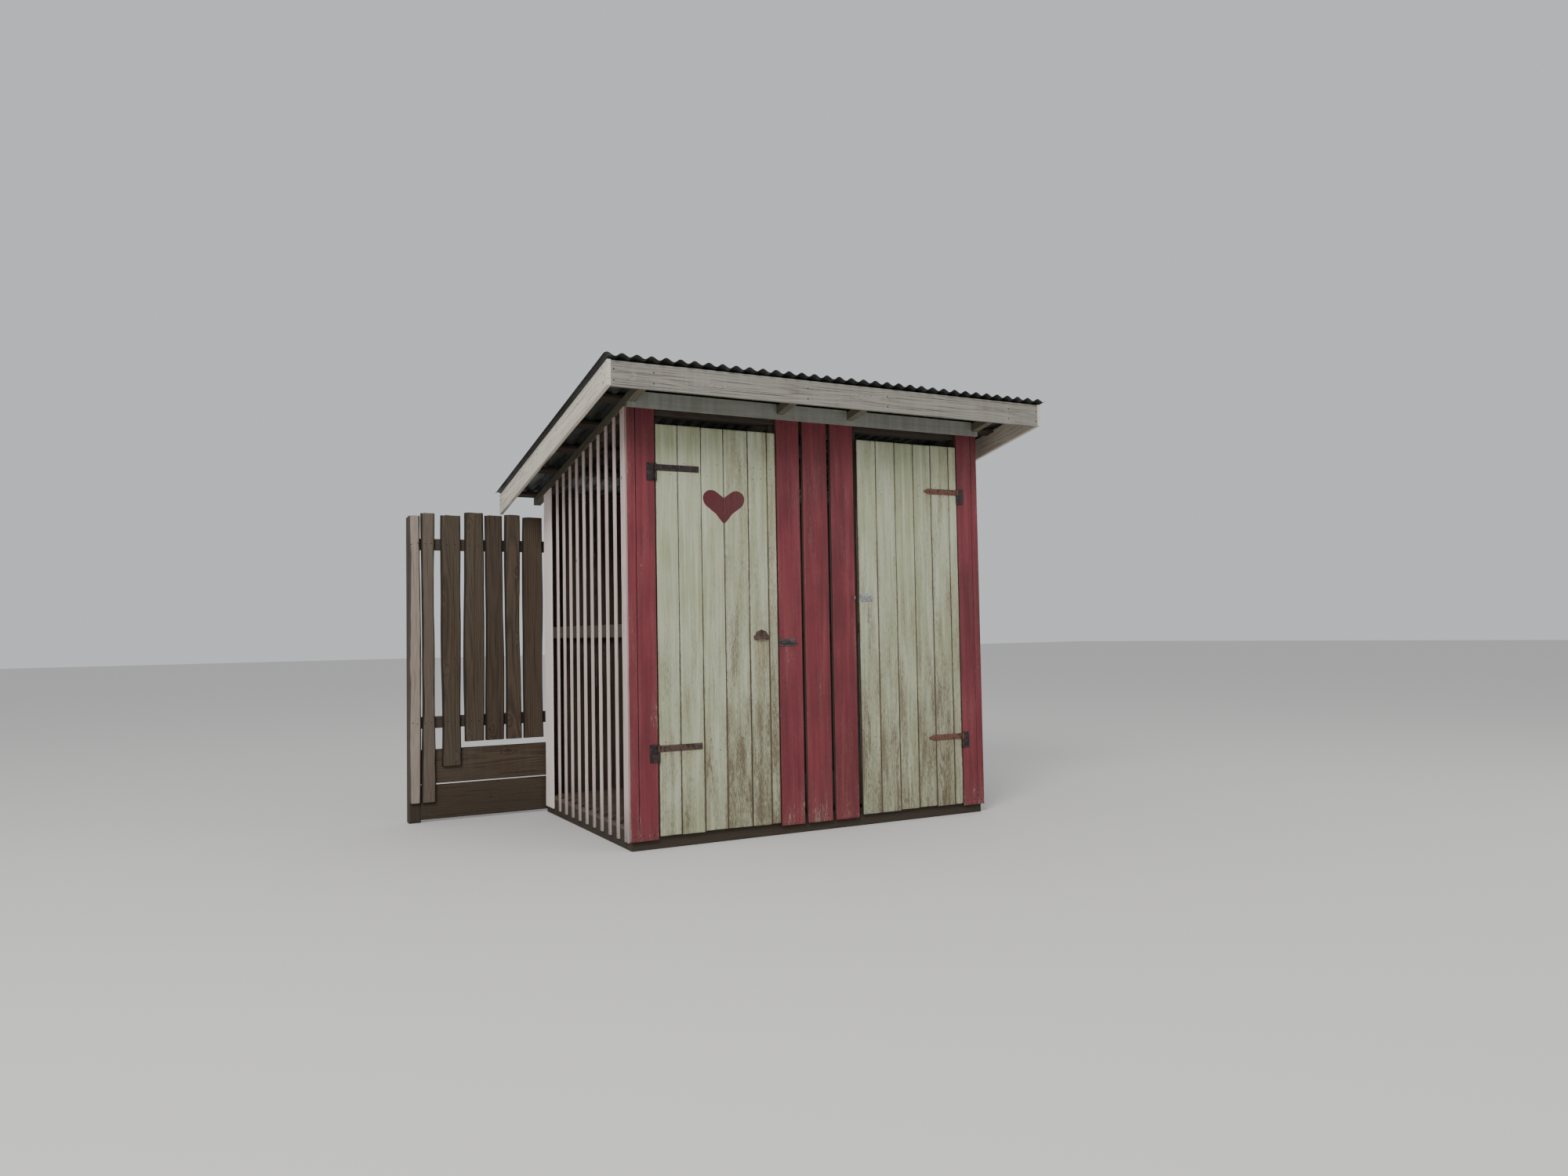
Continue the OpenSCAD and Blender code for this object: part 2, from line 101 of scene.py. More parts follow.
# %% [markdown]
# ## Nodes with short names
#
# A shader is a graph, and a graph is easier to read when each node takes one line. Net adds nodes to a tree
# and joins whatever is handed to it: a number stays a number, a socket becomes a link. Colours are given as
# they are seen on a screen, and `seen` turns them into the linear light that a shader adds up.

# %% Short ways to build a shader
def seen(r, g, b):
    linear = [c / 255 / 12.92 if c <= 10 else ((c / 255 + 0.055) / 1.055) ** 2.4 for c in (r, g, b)]
    return (*linear, 1.0)


class Net:
    """Adds nodes to one shader tree, and joins them."""

    def __init__(self, tree):
        self.tree = tree
        self.count = 0

    def node(self, kind, values=None, **settings):
        made = self.tree.nodes.new("ShaderNode" + kind)
        made.location = (self.count % 14 * 200, -(self.count // 14) * 340)
        self.count += 1
        for name, value in settings.items():
            setattr(made, name, value)
        for key, value in (values or {}).items():
            self.feed(made.inputs[key], value)
        return made

    def feed(self, socket, value):
        if isinstance(value, bpy.types.NodeSocket):
            self.tree.links.new(value, socket)
        else:
            socket.default_value = value

    def math(self, operation, *values):
        return self.node("Math", dict(enumerate(values)), operation=operation).outputs[0]

    def plus(self, a, b):
        return self.math("ADD", a, b)

    def minus(self, a, b):
        return self.math("SUBTRACT", a, b)

    def times(self, a, b):
        return self.math("MULTIPLY", a, b)

    def times_plus(self, a, factor, offset):
        return self.math("MULTIPLY_ADD", a, factor, offset)

    def vector(self, operation, *values):
        made = self.node("VectorMath", dict(enumerate(values)), operation=operation)
        return made.outputs["Value" if operation in ("LENGTH", "DOT_PRODUCT") else "Vector"]

    def place(self):
        """A point of the object in its own coordinates, which are the frame's."""
        return self.node("TexCoord").outputs["Object"]

    def stored(self, name):
        return self.node("Attribute", attribute_name=name).outputs["Vector"]

    def noise(self, place, scale, detail=3.0, rough=0.55, colour=False):
        """Soft noise. scale counts its lumps in a metre along each axis."""
        spread = self.vector("MULTIPLY", place, scale)
        values = {"Vector": spread, "Scale": 1.0, "Detail": detail, "Roughness": rough}
        return self.node("TexNoise", values).outputs[1 if colour else 0]

    def smooth(self, value, low, high, start=0.0, end=1.0):
        """A soft step: start where value is at or below low, end where it is at or above high."""
        values = dict(enumerate((value, low, high, start, end)))
        return self.node("MapRange", values, interpolation_type="SMOOTHSTEP").outputs[0]

    def blend(self, mask, a, b):
        """Mixes two colours. Each is a socket, or three numbers as seen on a screen."""
        a, b = (seen(*colour) if isinstance(colour, tuple) else colour for colour in (a, b))
        return self.node("Mix", {0: mask, 6: a, 7: b}, data_type="RGBA").outputs[2]

    def coats(self, colour, *layers):
        """Lays more colours over a first one, each where its mask says."""
        for mask, over in layers:
            colour = self.blend(mask, colour, over)
        return colour

    def split(self, vector):
        return self.node("SeparateXYZ", {0: vector}).outputs

    def effect(self, name, **values):
        made = self.node("Group", node_tree=bpy.data.node_groups[name])
        for label, value in values.items():
            self.feed(made.inputs[label.replace("_", " ")], value)
        return made.outputs


def new_effect(name, takes, gives):
    """A node group with named sockets. takes maps a name to its number, or to None for a vector. The last
    thing handed back is a function that feeds the group's outputs."""
    tree = bpy.data.node_groups.new(name, "ShaderNodeTree")
    for label, value in takes.items():
        kind = "NodeSocketVector" if value is None else "NodeSocketFloat"
        socket = tree.interface.new_socket(label, in_out="INPUT", socket_type=kind)
        if value is not None:
            socket.default_value = value
    for label in gives:
        tree.interface.new_socket(label, in_out="OUTPUT", socket_type="NodeSocketFloat")
    net = Net(tree)
    given, out = (net.tree.nodes.new(kind) for kind in ("NodeGroupInput", "NodeGroupOutput"))

    def give(*values):
        for label, value in zip(gives, values, strict=True):
            net.feed(out.inputs[label], value)
        print(f"{name}: {len(tree.nodes)} nodes give", ", ".join(gives))

    return net, given.outputs, give

# %% [markdown]
# ## Grain
#
# A board is a slice of a tree. Its broad figure comes from growth rings cut at a slant, its fine streaks from
# fibres, and its eyes from branches. All three are made here in the board's own coordinates, along, across
# and through it in metres, so the figure follows each board wherever it is nailed. The rings are circles
# round a pith that drifts past the board, which gives the long arches of flat-sawn wood. A wave texture would
# be quicker, but its lines never close into arches.

# %% Effect: sawn grain
net, given, give = new_effect(
    "sawn grain",
    {"Run": None, "Tone": None, "Ring Width": 0.007, "Knots": 0.3, "Checks": 0.3},
    ("Rings", "Fibre", "Knot", "Check", "Height"),
)
shifted = net.vector("ADD", given["Run"], net.vector("MULTIPLY", given["Tone"], (31.0, 7.0, 0.0)))
drift = net.noise(shifted, (1.1, 6.0, 6.0), 2.0, colour=True)
drift = net.vector("MULTIPLY", net.vector("SUBTRACT", drift, (0.5, 0.5, 0.5)), (0.0, 0.06, 0.06))
tone = net.split(given["Tone"])
run = net.split(given["Run"])
pith_off = net.times_plus(tone[0], 0.18, -0.02)
pith_deep = net.times_plus(run[0], net.times_plus(tone[1], 0.04, -0.02), -0.055)
pith = net.node("CombineXYZ", {1: pith_off, 2: pith_deep}).outputs[0]
flat_run = net.vector("MULTIPLY", given["Run"], (0.0, 1.0, 1.0))
from_pith = net.vector("LENGTH", net.vector("ADD", net.vector("SUBTRACT", flat_run, pith), drift))

# Knots sit one to a cell of about 45 by 12 centimetres, and most of the cells are left empty.
CELL = (2.2, 8.5, 8.5)
knot_place = net.vector("MULTIPLY", shifted, CELL)
cells = net.node("TexVoronoi", {"Vector": knot_place, "Scale": 1.0, "Randomness": 0.9})
apart = net.vector("SUBTRACT", knot_place, cells.outputs["Position"])
apart = net.vector("LENGTH", net.vector("DIVIDE", apart, (CELL[0] * 1.5, CELL[1], 40.0)))
chosen = net.math("LESS_THAN", net.split(cells.outputs["Color"])[0], given["Knots"])
knot = net.times(net.smooth(apart, 0.005, 0.009, 1.0, 0.0), chosen)
halo = net.times(net.smooth(apart, 0.004, 0.045, 1.0, 0.0), chosen)

distance = net.minus(from_pith, net.times(halo, 0.016))
phase = net.times(net.math("DIVIDE", distance, given["Ring Width"]), math.tau)
rings = net.math("POWER", net.times_plus(net.math("SINE", phase), 0.5, 0.5), 1.8)
fibre = net.noise(shifted, (6.0, 420.0, 420.0), 3.0, 0.62)
crack = net.noise(shifted, (1.8, 230.0, 40.0), 2.0, 0.5)
check = net.smooth(net.minus(crack, net.times_plus(given["Checks"], -0.2, 0.74)), 0.0, 0.05)
height = net.times_plus(fibre, 0.45, net.times(rings, 0.4))
give(rings, fibre, knot, check, net.minus(net.times_plus(knot, 0.4, height), check))

# %% [markdown]
# ## Weather
#
# Rain runs down walls and splashes up from the ground. Four masks cover that for every material: a damp,
# dirty foot near the ground, runs that are narrow and tall, broad blotches, and fine specks. They are read
# from the object's own coordinates, in which up is always up, so a wall keeps one pattern across all of its
# boards.

# %% Effect: weather
net, given, give = new_effect("weather", {"Foot Height": 0.35}, ("Foot", "Runs", "Blotch", "Specks"))
place = net.place()
tall = net.noise(place, (34.0, 34.0, 1.1), 4.0, 0.6)
broad = net.noise(place, (3.4, 3.4, 2.2), 4.0, 0.6)
specks = net.noise(place, (170.0, 170.0, 120.0), 2.0, 0.7)
ragged = net.times_plus(tall, 0.35, net.times_plus(broad, 0.25, -0.3))
reach = net.plus(given["Foot Height"], ragged)
foot = net.math("DIVIDE", net.minus(reach, net.split(place)[2]), given["Foot Height"])
give(net.smooth(foot, 0.0, 1.0), net.smooth(tall, 0.42, 0.68), net.smooth(broad, 0.35, 0.68),
     net.smooth(specks, 0.6, 0.72))

# %% [markdown]
# ## Worn paint
#
# Distemper and thin paint wear along the grain, in slivers and in patches. Both are noise, and their sum is
# what the weather has done. Hard rings, arrises and the damp foot add to it, and a soft step cuts the result,
# so one number, Wear, takes a board from fresh to bare. Just short of bare the coat is thin and flecked with
# the dark of the wood.

# %% Effect: worn paint
net, given, give = new_effect(
    "worn paint",
    {"Run": None, "Tone": None, "Wear": 0.4, "Arris": 0.0, "Foot": 0.0, "Rings": 0.0},
    ("Bare", "Thin", "Flecks", "Stain", "Height"),
)
shifted = net.vector("ADD", given["Run"], net.vector("MULTIPLY", given["Tone"], (17.0, 5.0, 0.0)))
slivers = net.noise(shifted, (34.0, 270.0, 80.0), 5.0, 0.7)
patches = net.noise(shifted, (2.6, 17.0, 17.0), 3.0, 0.6)
flecks = net.noise(shifted, (60.0, 340.0, 90.0), 3.0, 0.6)
stain = net.noise(shifted, (1.7, 55.0, 20.0), 3.0, 0.6)
cause = net.times_plus(patches, 0.52, net.times(slivers, 0.63))
for label, weight in (("Rings", 0.05), ("Arris", 0.17), ("Foot", 0.13)):
    cause = net.times_plus(given[label], weight, cause)
over = net.minus(cause, net.times_plus(given["Wear"], -0.36, 0.87))
bare = net.smooth(over, -0.015, 0.03)
flecked = net.times(net.smooth(flecks, 0.55, 0.66), net.smooth(over, -0.12, 0.04))
give(bare, net.smooth(over, -0.2, 0.04), flecked, net.smooth(stain, 0.42, 0.72), net.minus(1.0, bare))

# %% [markdown]
# ## Rust
#
# Rust is never one brown: it is dark where the scale still holds, orange where it flakes, and it creeps out
# from noise at two sizes. The same effect serves the straps, the nails and the specks on the sheets.

# %% Effect: rust
net, given, give = new_effect("rust", {"Spread": 0.5, "Size": 1.0}, ("Rust", "Shade", "Height"))
place = net.vector("SCALE", net.place())
net.feed(place.node.inputs["Scale"], given["Size"])
coarse = net.noise(place, (28.0, 28.0, 28.0), 4.0, 0.6)
fine = net.noise(place, (210.0, 210.0, 210.0), 3.0, 0.65)
amount = net.times_plus(fine, 0.35, net.times(coarse, 0.65))
limit = net.minus(0.78, net.times(given["Spread"], 0.56))
rust = net.smooth(net.minus(amount, limit), -0.05, 0.06)
give(rust, net.smooth(fine, 0.3, 0.7), net.times_plus(fine, 0.7, net.times(rust, 0.5)))

# %% [markdown]
# ## Bare and painted timber
#
# Two recipes cover all the wood. Bare timber mixes a pale and a dark tone by rings and fibres, then lays grey
# weathering, dirt and knots over it. Painted timber starts from the same wood and lays a coat over it where
# the worn-paint mask says that it holds, on the weather side only. Each finish below then only states its
# colours and its wear, as a painter's card would.

# %% Recipes: bare and painted timber
FINISH = {}
# The joint colour darkens the side faces of painted boards: dirt in the joints, and painted shade between the
# boards.
KNOT_BROWN, CHECK_BLACK, JOINT_DIRT_AND_SHADE = (50, 35, 26), (28, 23, 19), (42, 36, 30)
EARTH_DARK, EARTH_PALE = (54, 47, 37), (92, 82, 62)


def wood_coordinates(net, axes):
    """Along, across and through the wood: stored on the boards made here, or read off the frame along three
    axes. Then the board's own tone, and the masks of its arrises and its weather side where they are
    stored."""
    if axes is None:
        skin = net.split(net.stored("skin"))
        return net.stored("grain"), net.stored("tone"), skin[0], skin[1]
    place = net.place()
    measures = [net.vector("DOT_PRODUCT", place, axis) for axis in axes]
    run = net.node("CombineXYZ", dict(enumerate(measures))).outputs[0]
    member = net.node("CombineXYZ", {0: net.math("FLOOR", net.times(measures[2], 3.0))})
    return run, net.node("TexWhiteNoise", {"Vector": member.outputs[0]}).outputs["Color"], None, None


def new_finish(name):
    material = bpy.data.materials.new(name)
    material.use_nodes = True
    material.node_tree.nodes.clear()
    net = Net(material.node_tree)
    shader = net.node("BsdfPrincipled")
    net.node("OutputMaterial", {"Surface": shader.outputs[0]})
    FINISH[name] = material
    return net, shader


def dress(net, shader, colour, roughness, height, relief, **more):
    """Feeds a finish's shader, and lets a height, from 0 to 1, stand relief metres out of the surface."""
    bump = net.node("Bump", {"Strength": 1.0, "Distance": relief, "Height": height})
    values = {"Base Color": colour, "Roughness": roughness, "Normal": bump.outputs[0]}
    for name, value in {**values, **more}.items():
        net.feed(shader.inputs[name.replace("_", " ")], value)


def raw_wood(name, axes, pale, dark, grey, greying, dirt, foot_height, **figure):
    """Starts a timber finish: its net and shader, where its wood lies, the two effects that it reads, and the
    colour of its bare wood, with figure, silvering, knots and the dirt of the foot."""
    net, shader = new_finish(name)
    run, tone, arris, weather_side = wood_coordinates(net, axes)
    grain = net.effect("sawn grain", Run=run, Tone=tone, **figure)
    weather = net.effect("weather", Foot_Height=foot_height)
    silver = net.times_plus(weather["Runs"], 0.3, net.times(weather["Blotch"], 0.35))
    wood = net.coats(
        pale,
        (grain["Rings"], dark),
        (net.smooth(grain["Fibre"], 0.35, 0.7, 0.0, 0.6), dark),
        (net.plus(silver, greying), grey),
        (net.smooth(net.split(tone)[1], 0.0, 1.0, 0.0, 0.4), dark),
        (net.times(weather["Specks"], 0.35), dark),
        (net.times(grain["Knot"], 0.75), KNOT_BROWN),
        (net.times(grain["Check"], 0.8), CHECK_BLACK),
        (net.times(weather["Foot"], 0.55), dirt),
    )
    return net, shader, (run, tone, arris, weather_side), grain, weather, wood


def bare_timber(name, pale, dark, grey, greying=0.3, ring=0.007, knots=0.3, checks=0.3, bark=None,
                bleach_and_painted_light=None, relief=0.0009, axes=None):
    """Unpainted wood. bark colours the arrises of a slab. The boards whose wear is 1 take a paler colour: a
    weathered bleach on the slabs, and painted sky light on the end boards of the slatted sides.
    """
    net, shader, (_, tone, arris, _), grain, _, colour = raw_wood(
        name, axes, pale, dark, grey, greying, EARTH_DARK, 0.3, Ring_Width=ring, Knots=knots, Checks=checks)
    if bleach_and_painted_light:
        share = net.smooth(net.split(tone)[2], 0.8, 1.0, 0.0, 0.95)
        streaked = net.times(share, net.smooth(grain["Fibre"], 0.35, 0.7, 1.0, 0.6))
        colour = net.blend(streaked, colour, bleach_and_painted_light)
    if arris:
        colour = net.blend(net.smooth(arris, 0.3, 1.0, 0.0, 0.8 if bark else 0.3), colour, bark or grey)
    roughness = net.smooth(grain["Fibre"], 0.2, 0.8, 0.72, 0.92)
    dress(net, shader, colour, roughness, grain["Height"], relief, Specular_IOR_Level=0.3)


def painted_timber(name, coat, deep, faded, stain, fleck, pale, dark, grey, wear, board_wear=0.0, ring=0.007,
                   foot_height=0.35, thin=0.5, staining=0.3, streaks=0.3, arris_wear=1.0, marks=(),
                   axes=None):
    """Painted wood. A mark over the coat is a function that builds its mask, its colour, how strongly it
    shows and how much wear it holds back. The side faces of a board are darkened, partly as dirt in the
    joints and partly as painted shade between the boards, but on one whose wear is 1 they are bare."""
    net, shader, (run, tone, arris, weather_side), grain, weather, wood = raw_wood(
        name, axes, pale, dark, grey, 0.35, EARTH_PALE, foot_height, Ring_Width=ring, Knots=0.25, Checks=0.2)
    if board_wear:
        wear = net.times_plus(net.split(tone)[2], board_wear, wear)
    arris = net.times(arris, arris_wear) if arris else 0.0
    worn = net.effect(
        "worn paint", Run=run, Tone=tone, Wear=wear, Arris=arris, Foot=weather["Foot"], Rings=grain["Rings"])
    paint = net.coats(
        coat,
        (weather["Blotch"], deep),
        (net.times(weather["Runs"], 0.6), faded),
        (net.times(worn["Stain"], staining), stain),
        (net.smooth(grain["Fibre"], 0.4, 0.72, 0.0, streaks), stain),
        (net.times(weather["Specks"], 0.3), stain),
    )
    loose = 1.0
    for build, colour, strength, hold in marks:
        mask = build(net)
        paint = net.blend(net.times(mask, strength), paint, colour)
        if hold:
            loose = net.times(loose, net.smooth(mask, 0.0, 1.0, 1.0, 1.0 - hold))
    paint = net.blend(net.times(net.times(worn["Thin"], thin), loose), paint, wood)
    bare = net.times(worn["Bare"], loose)
    if weather_side:
        bare = net.math("MAXIMUM", bare, net.smooth(weather_side, 0.3, 0.75, 1.0, 0.0))
    flecked = net.times(net.times(worn["Flecks"], loose), 0.7)
    colour = net.coats(paint, (bare, wood), (flecked, fleck))
    if weather_side:
        # Darkens the side faces of the boards: dirt in the joints, and painted shade between the boards.
        joint = net.times(net.smooth(weather_side, 0.05, 0.2), net.smooth(weather_side, 0.7, 0.97, 0.8, 0.0))
        joint = net.times(joint, net.smooth(net.split(tone)[2], 0.9, 1.0, 1.0, 0.0))
        colour = net.blend(joint, colour, JOINT_DIRT_AND_SHADE)
    rise = net.times_plus(worn["Height"], 0.3, net.times(grain["Height"], 0.6))
    dress(net, shader, colour, net.smooth(bare, 0.0, 1.0, 0.64, 0.9), rise, 0.0006, Specular_IOR_Level=0.3)

# %% [markdown]
# ## The heart, and rust that ran
#
# A heart is painted on the left door, across the seam of two boards. Its outline is two curves over the
# distance from its middle, one for the upper edge and one for the lower, and the mask is where the height
# lies between them. A picture file would do it too, but then the heart would have a fixed number of pixels.
# Below the pull and the straps, rain has drawn rust down the paint, so a second mask fades downwards from a
# given height.

# %% Masks: the heart and rust runs
HEART_HALF = 0.1225
HEART_MIDDLE = front_left.x + 0.546
HEART_LOW, HEART_HIGH = 1.687, 1.868
UPPER_EDGE = [(0.0, 0.77), (0.2, 0.875), (0.4, 0.965), (0.6, 1.0), (0.8, 0.965), (0.94, 0.885), (1.0, 0.78)]
LOWER_EDGE = [(0.0, 0.0), (0.17, 0.115), (0.4, 0.3), (0.65, 0.425), (0.86, 0.535), (0.96, 0.63), (1.0, 0.76)]


def edge_curve(net, share, points):
    made = net.node("FloatCurve", {"Value": share})
    curve = made.mapping.curves[0]
    curve.points[0].location, curve.points[1].location = points[0], points[-1]
    for x, y in points[1:-1]:
        curve.points.new(x, y)
    made.mapping.update()
    return made.outputs[0]


def heart_mask(net):
    place = net.place()
    ripple = net.noise(place, (90.0, 90.0, 60.0), 2.0)
    x, _, z = net.split(place)
    share = net.math("DIVIDE", net.math("ABSOLUTE", net.minus(x, HEART_MIDDLE)), HEART_HALF)
    height = net.math("DIVIDE", net.minus(z, HEART_LOW), HEART_HIGH - HEART_LOW)
    height = net.plus(height, net.times_plus(ripple, 0.03, -0.015))
    below = net.minus(edge_curve(net, share, UPPER_EDGE), height)
    over = net.minus(height, edge_curve(net, share, LOWER_EDGE))
    inside = net.smooth(net.math("MINIMUM", below, over), -0.008, 0.008)
    return net.times(inside, net.math("LESS_THAN", share, 1.0))


def rust_run(node, half, drop):
    """A mask that hangs below a piece of ironwork, half a width to each side of its middle."""
    low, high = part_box(node)
    middle = (low.x + high.x) / 2

    def mask(net):
        place = net.place()
        x, _, z = net.split(place)
        streak = net.noise(place, (160.0, 1.0, 5.0), 3.0, 0.6)
        beside = net.smooth(net.math("ABSOLUTE", net.minus(x, middle)), half * 0.7, half, 1.0, 0.0)
        fade = net.smooth(z, low.z - drop, low.z, 0.0, 1.0)
        run = net.times(net.times(beside, fade), net.math("LESS_THAN", z, low.z + 0.01))
        return net.times(run, net.smooth(streak, 0.3, 0.62))

    return mask

# %% [markdown]
# ## The finishes
#
# Here is the painter's card: the red of the fixed boards, the pale grey-green of the doors, the thin grey of
# the frieze, and seven kinds of bare wood that differ in age and light. Sun bleaches what faces the sky, and
# the dark frame inside never sees rain, so it keeps its brown. Two of them carry painted light: the slabs are
# darkened as painted shade, and the end boards of the slatted sides are brightened as painted sky light. The
# rafters and the frieze keep their solids, so their wood is read off the frame, along the roof's fall and
# along the front.

# %% Timber finishes
ROOF_FALL = math.radians(10.8)
DOWN_ROOF = Vector((0.0, math.cos(ROOF_FALL), -math.sin(ROOF_FALL)))
OFF_ROOF = Vector((0.0, math.sin(ROOF_FALL), math.cos(ROOF_FALL)))
painted_timber(
    "red_paint", coat=(118, 48, 56), deep=(98, 39, 46), faded=(132, 60, 66), stain=(75, 36, 38),
    fleck=(60, 34, 32), pale=(196, 170, 156), dark=(134, 102, 92), grey=(182, 160, 150), wear=0.26,
    ring=0.008, thin=0.12, staining=0.4, streaks=0.28, arris_wear=0.25,
)
painted_timber(
    "door_paint", coat=(173, 179, 154), deep=(152, 160, 128), faded=(192, 197, 178),
    stain=(140, 134, 98), fleck=(86, 80, 58), pale=(156, 140, 114), dark=(92, 78, 60),
    grey=(144, 138, 120),
    wear=0.12, board_wear=0.62, ring=0.006, foot_height=1.8, thin=0.65, staining=0.5, streaks=0.42,
    marks=(
        (heart_mask, (86, 36, 42), 1.0, 0.75),
        (rust_run("left_door_pull", 0.05, 0.3), (128, 96, 54), 0.55, 0.0),
        (rust_run("left_door_straps", 0.11, 0.12), (120, 84, 54), 0.35, 0.0),
        (rust_run("right_door_straps", 0.11, 0.12), (120, 84, 54), 0.35, 0.0),
    ),
)
painted_timber(
    "frieze_timber", coat=(154, 156, 148), deep=(138, 140, 132), faded=(166, 168, 162),
    stain=(118, 116, 104), fleck=(86, 84, 74), pale=(150, 146, 134), dark=(100, 96, 86),
    grey=(142, 140, 132), wear=0.3,
    axes=((1.0, 0.0, 0.0), (0.0, 0.0, 1.0), (0.0, 1.0, 0.0)),
)
for name, pale, dark, grey, ways in (
    ("frame_timber", (80, 67, 55), (51, 42, 34), (72, 67, 60), dict(greying=0.12, knots=0.35)),
    ("rafter_timber", (126, 118, 100), (80, 72, 60), (112, 112, 98),
     dict(greying=0.25, axes=(DOWN_ROOF, OFF_ROOF, (1.0, 0.0, 0.0)))),
    ("floor_timber", (126, 106, 84), (84, 68, 52), (110, 102, 90), dict(greying=0.15)),
    ("eave_timber", (158, 152, 142), (98, 92, 84), (148, 145, 138),
     dict(greying=0.3, ring=0.009, checks=0.6, relief=0.0014)),
    ("barge_timber", (226, 215, 198), (154, 144, 128), (208, 201, 188),
     dict(greying=0.35, ring=0.009, checks=0.5, relief=0.0012)),
    # The brightest colour of the next finish goes to the end boards of the slatted sides: painted sky light.
    ("slat_timber", (226, 205, 199), (168, 142, 136), (212, 197, 194),
     dict(greying=0.25, ring=0.005, knots=0.2, bleach_and_painted_light=(255, 240, 234))),
    # The slab colours below are darkened as painted shade of the trees over the wing, on top of the slabs' own
    # dark brown.
    ("slab_timber", (88, 71, 55), (55, 44, 35), (82, 75, 63),
     dict(greying=0.12, ring=0.009, knots=0.4, checks=0.55, bark=(38, 31, 25), bleach_and_painted_light=(158, 144, 132),
          relief=0.0014)),
):
    bare_timber(name, pale, dark, grey, **ways)
print("timber finishes:", list(FINISH))

# %% [markdown]
# ## Metal finishes
#
# The sheets are dark with age, greyer on the crests and rusty along edges and nail rows. Three irons differ
# only in how far the rust has gone. The hasp is dull zinc with its large pale flowers, and the bolt is the
# same zinc gone dark.

# %% Metal finishes
def iron(name, scale_colour, rust_dark, rust_light, spread):
    net, shader = new_finish(name)
    rust = net.effect("rust", Spread=spread, Size=1.4)
    orange = net.blend(rust["Shade"], rust_dark, rust_light)
    dress(net, shader, net.blend(rust["Rust"], scale_colour, orange),
          net.smooth(rust["Rust"], 0.0, 1.0, 0.5, 0.9), rust["Height"], 0.0005,
          Metallic=net.smooth(rust["Rust"], 0.0, 1.0, 0.7, 0.0))


def zinc(name, dull, bright, spread):
    net, shader = new_finish(name)
    flowers = net.node("TexVoronoi", {"Vector": net.place(), "Scale": 170.0})
    rust = net.effect("rust", Spread=spread, Size=1.6)
    skin = net.blend(net.split(flowers.outputs["Color"])[0], dull, bright)
    dress(net, shader, net.blend(rust["Rust"], skin, (68, 52, 46)),
          net.smooth(rust["Shade"], 0.0, 1.0, 0.36, 0.6), rust["Height"], 0.0002,
          Metallic=net.smooth(rust["Rust"], 0.0, 0.6, 0.85, 0.1))


iron("dark_iron", (48, 44, 46), (48, 37, 35), (74, 55, 48), 0.48)
iron("rusty_iron", (60, 48, 45), (78, 50, 44), (118, 78, 66), 0.66)
iron("brown_iron", (60, 49, 46), (64, 50, 45), (92, 70, 60), 0.58)
zinc("zinc_steel", (122, 126, 126), (168, 171, 169), 0.22)
zinc("dull_zinc", (66, 62, 62), (100, 98, 97), 0.42)

net, shader = new_finish("roof_sheet")
place = net.place()
trough_mark, _, edge_mark = net.split(net.stored("skin"))
weather = net.effect("weather", Foot_Height=0.1)
rust = net.effect("rust", Spread=net.times_plus(edge_mark, 0.2, 0.2), Size=0.35)
silt = net.noise(place, (22.0, 3.0, 22.0), 3.0, 0.6)
moss = net.noise(place, (9.0, 9.0, 9.0), 4.0, 0.65)
trough = net.times(trough_mark, net.smooth(silt, 0.35, 0.65, 0.25, 1.0))
mossy = net.times(trough_mark, net.smooth(moss, 0.55, 0.66, 0.0, 0.6))
rusty = net.times(rust["Rust"], 0.7)
colour = net.coats((74, 77, 77), (weather["Blotch"], (96, 100, 98)), (trough, (38, 38, 32)),
                   (mossy, (62, 68, 38)), (rusty, (78, 52, 42)))
dress(net, shader, colour, net.smooth(trough, 0.0, 1.0, 0.46, 0.88), rust["Height"], 0.0005,
      Metallic=net.smooth(rust["Rust"], 0.0, 1.0, 0.55, 0.0))

net, shader = new_finish("painted_nail")
rust = net.effect("rust", Spread=0.5, Size=3.0)
own = net.split(net.stored("tone"))[0]
bared = net.math("MAXIMUM", net.smooth(own, 0.62, 0.66), net.times(rust["Rust"], 0.7))
dress(net, shader, net.blend(bared, (164, 169, 142), (60, 44, 36)),
      net.smooth(rust["Shade"], 0.0, 1.0, 0.6, 0.85), rust["Height"], 0.0002)
print("all finishes:", list(FINISH))

# %% [markdown]
# ## Where each board lies
#
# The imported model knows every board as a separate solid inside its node. Instead of repeating a table of
# sizes, this cell welds equal corner points, walks the faces to find the separate solids, and hands back the
# corners of each. A board made here then fills exactly the room of its solid.

# %% Find the separate solids of a node
def solids_of(node):
    """The corner points of each solid of a CAD node, sorted from left to right, from front to back and from
    bottom to top."""
    mesh = frame["nodes"][node].data
    spots = {}
    home = [spots.setdefault(tuple(round(c, 5) for c in vertex.co), len(spots)) for vertex in mesh.vertices]
    chief = list(range(len(spots)))

    def find(i):
        while chief[i] != i:
            chief[i] = chief[chief[i]]
            i = chief[i]
        return i

    for polygon in mesh.polygons:
        first = find(home[polygon.vertices[0]])
        for index in polygon.vertices:
            chief[find(home[index])] = first
    groups = {}
    for spot, i in spots.items():
        groups.setdefault(find(i), []).append(spot)
    return sorted((np.array(group) for group in groups.values()), key=lambda g: tuple(g.min(0).round(3)))


def boxes_of(node):
    """The lowest and highest corner of each solid of a CAD node."""
    return [(corners.min(0), corners.max(0)) for corners in solids_of(node)]


FALL = math.tan(ROOF_FALL)
plate_low, plate_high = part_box("front_plate")


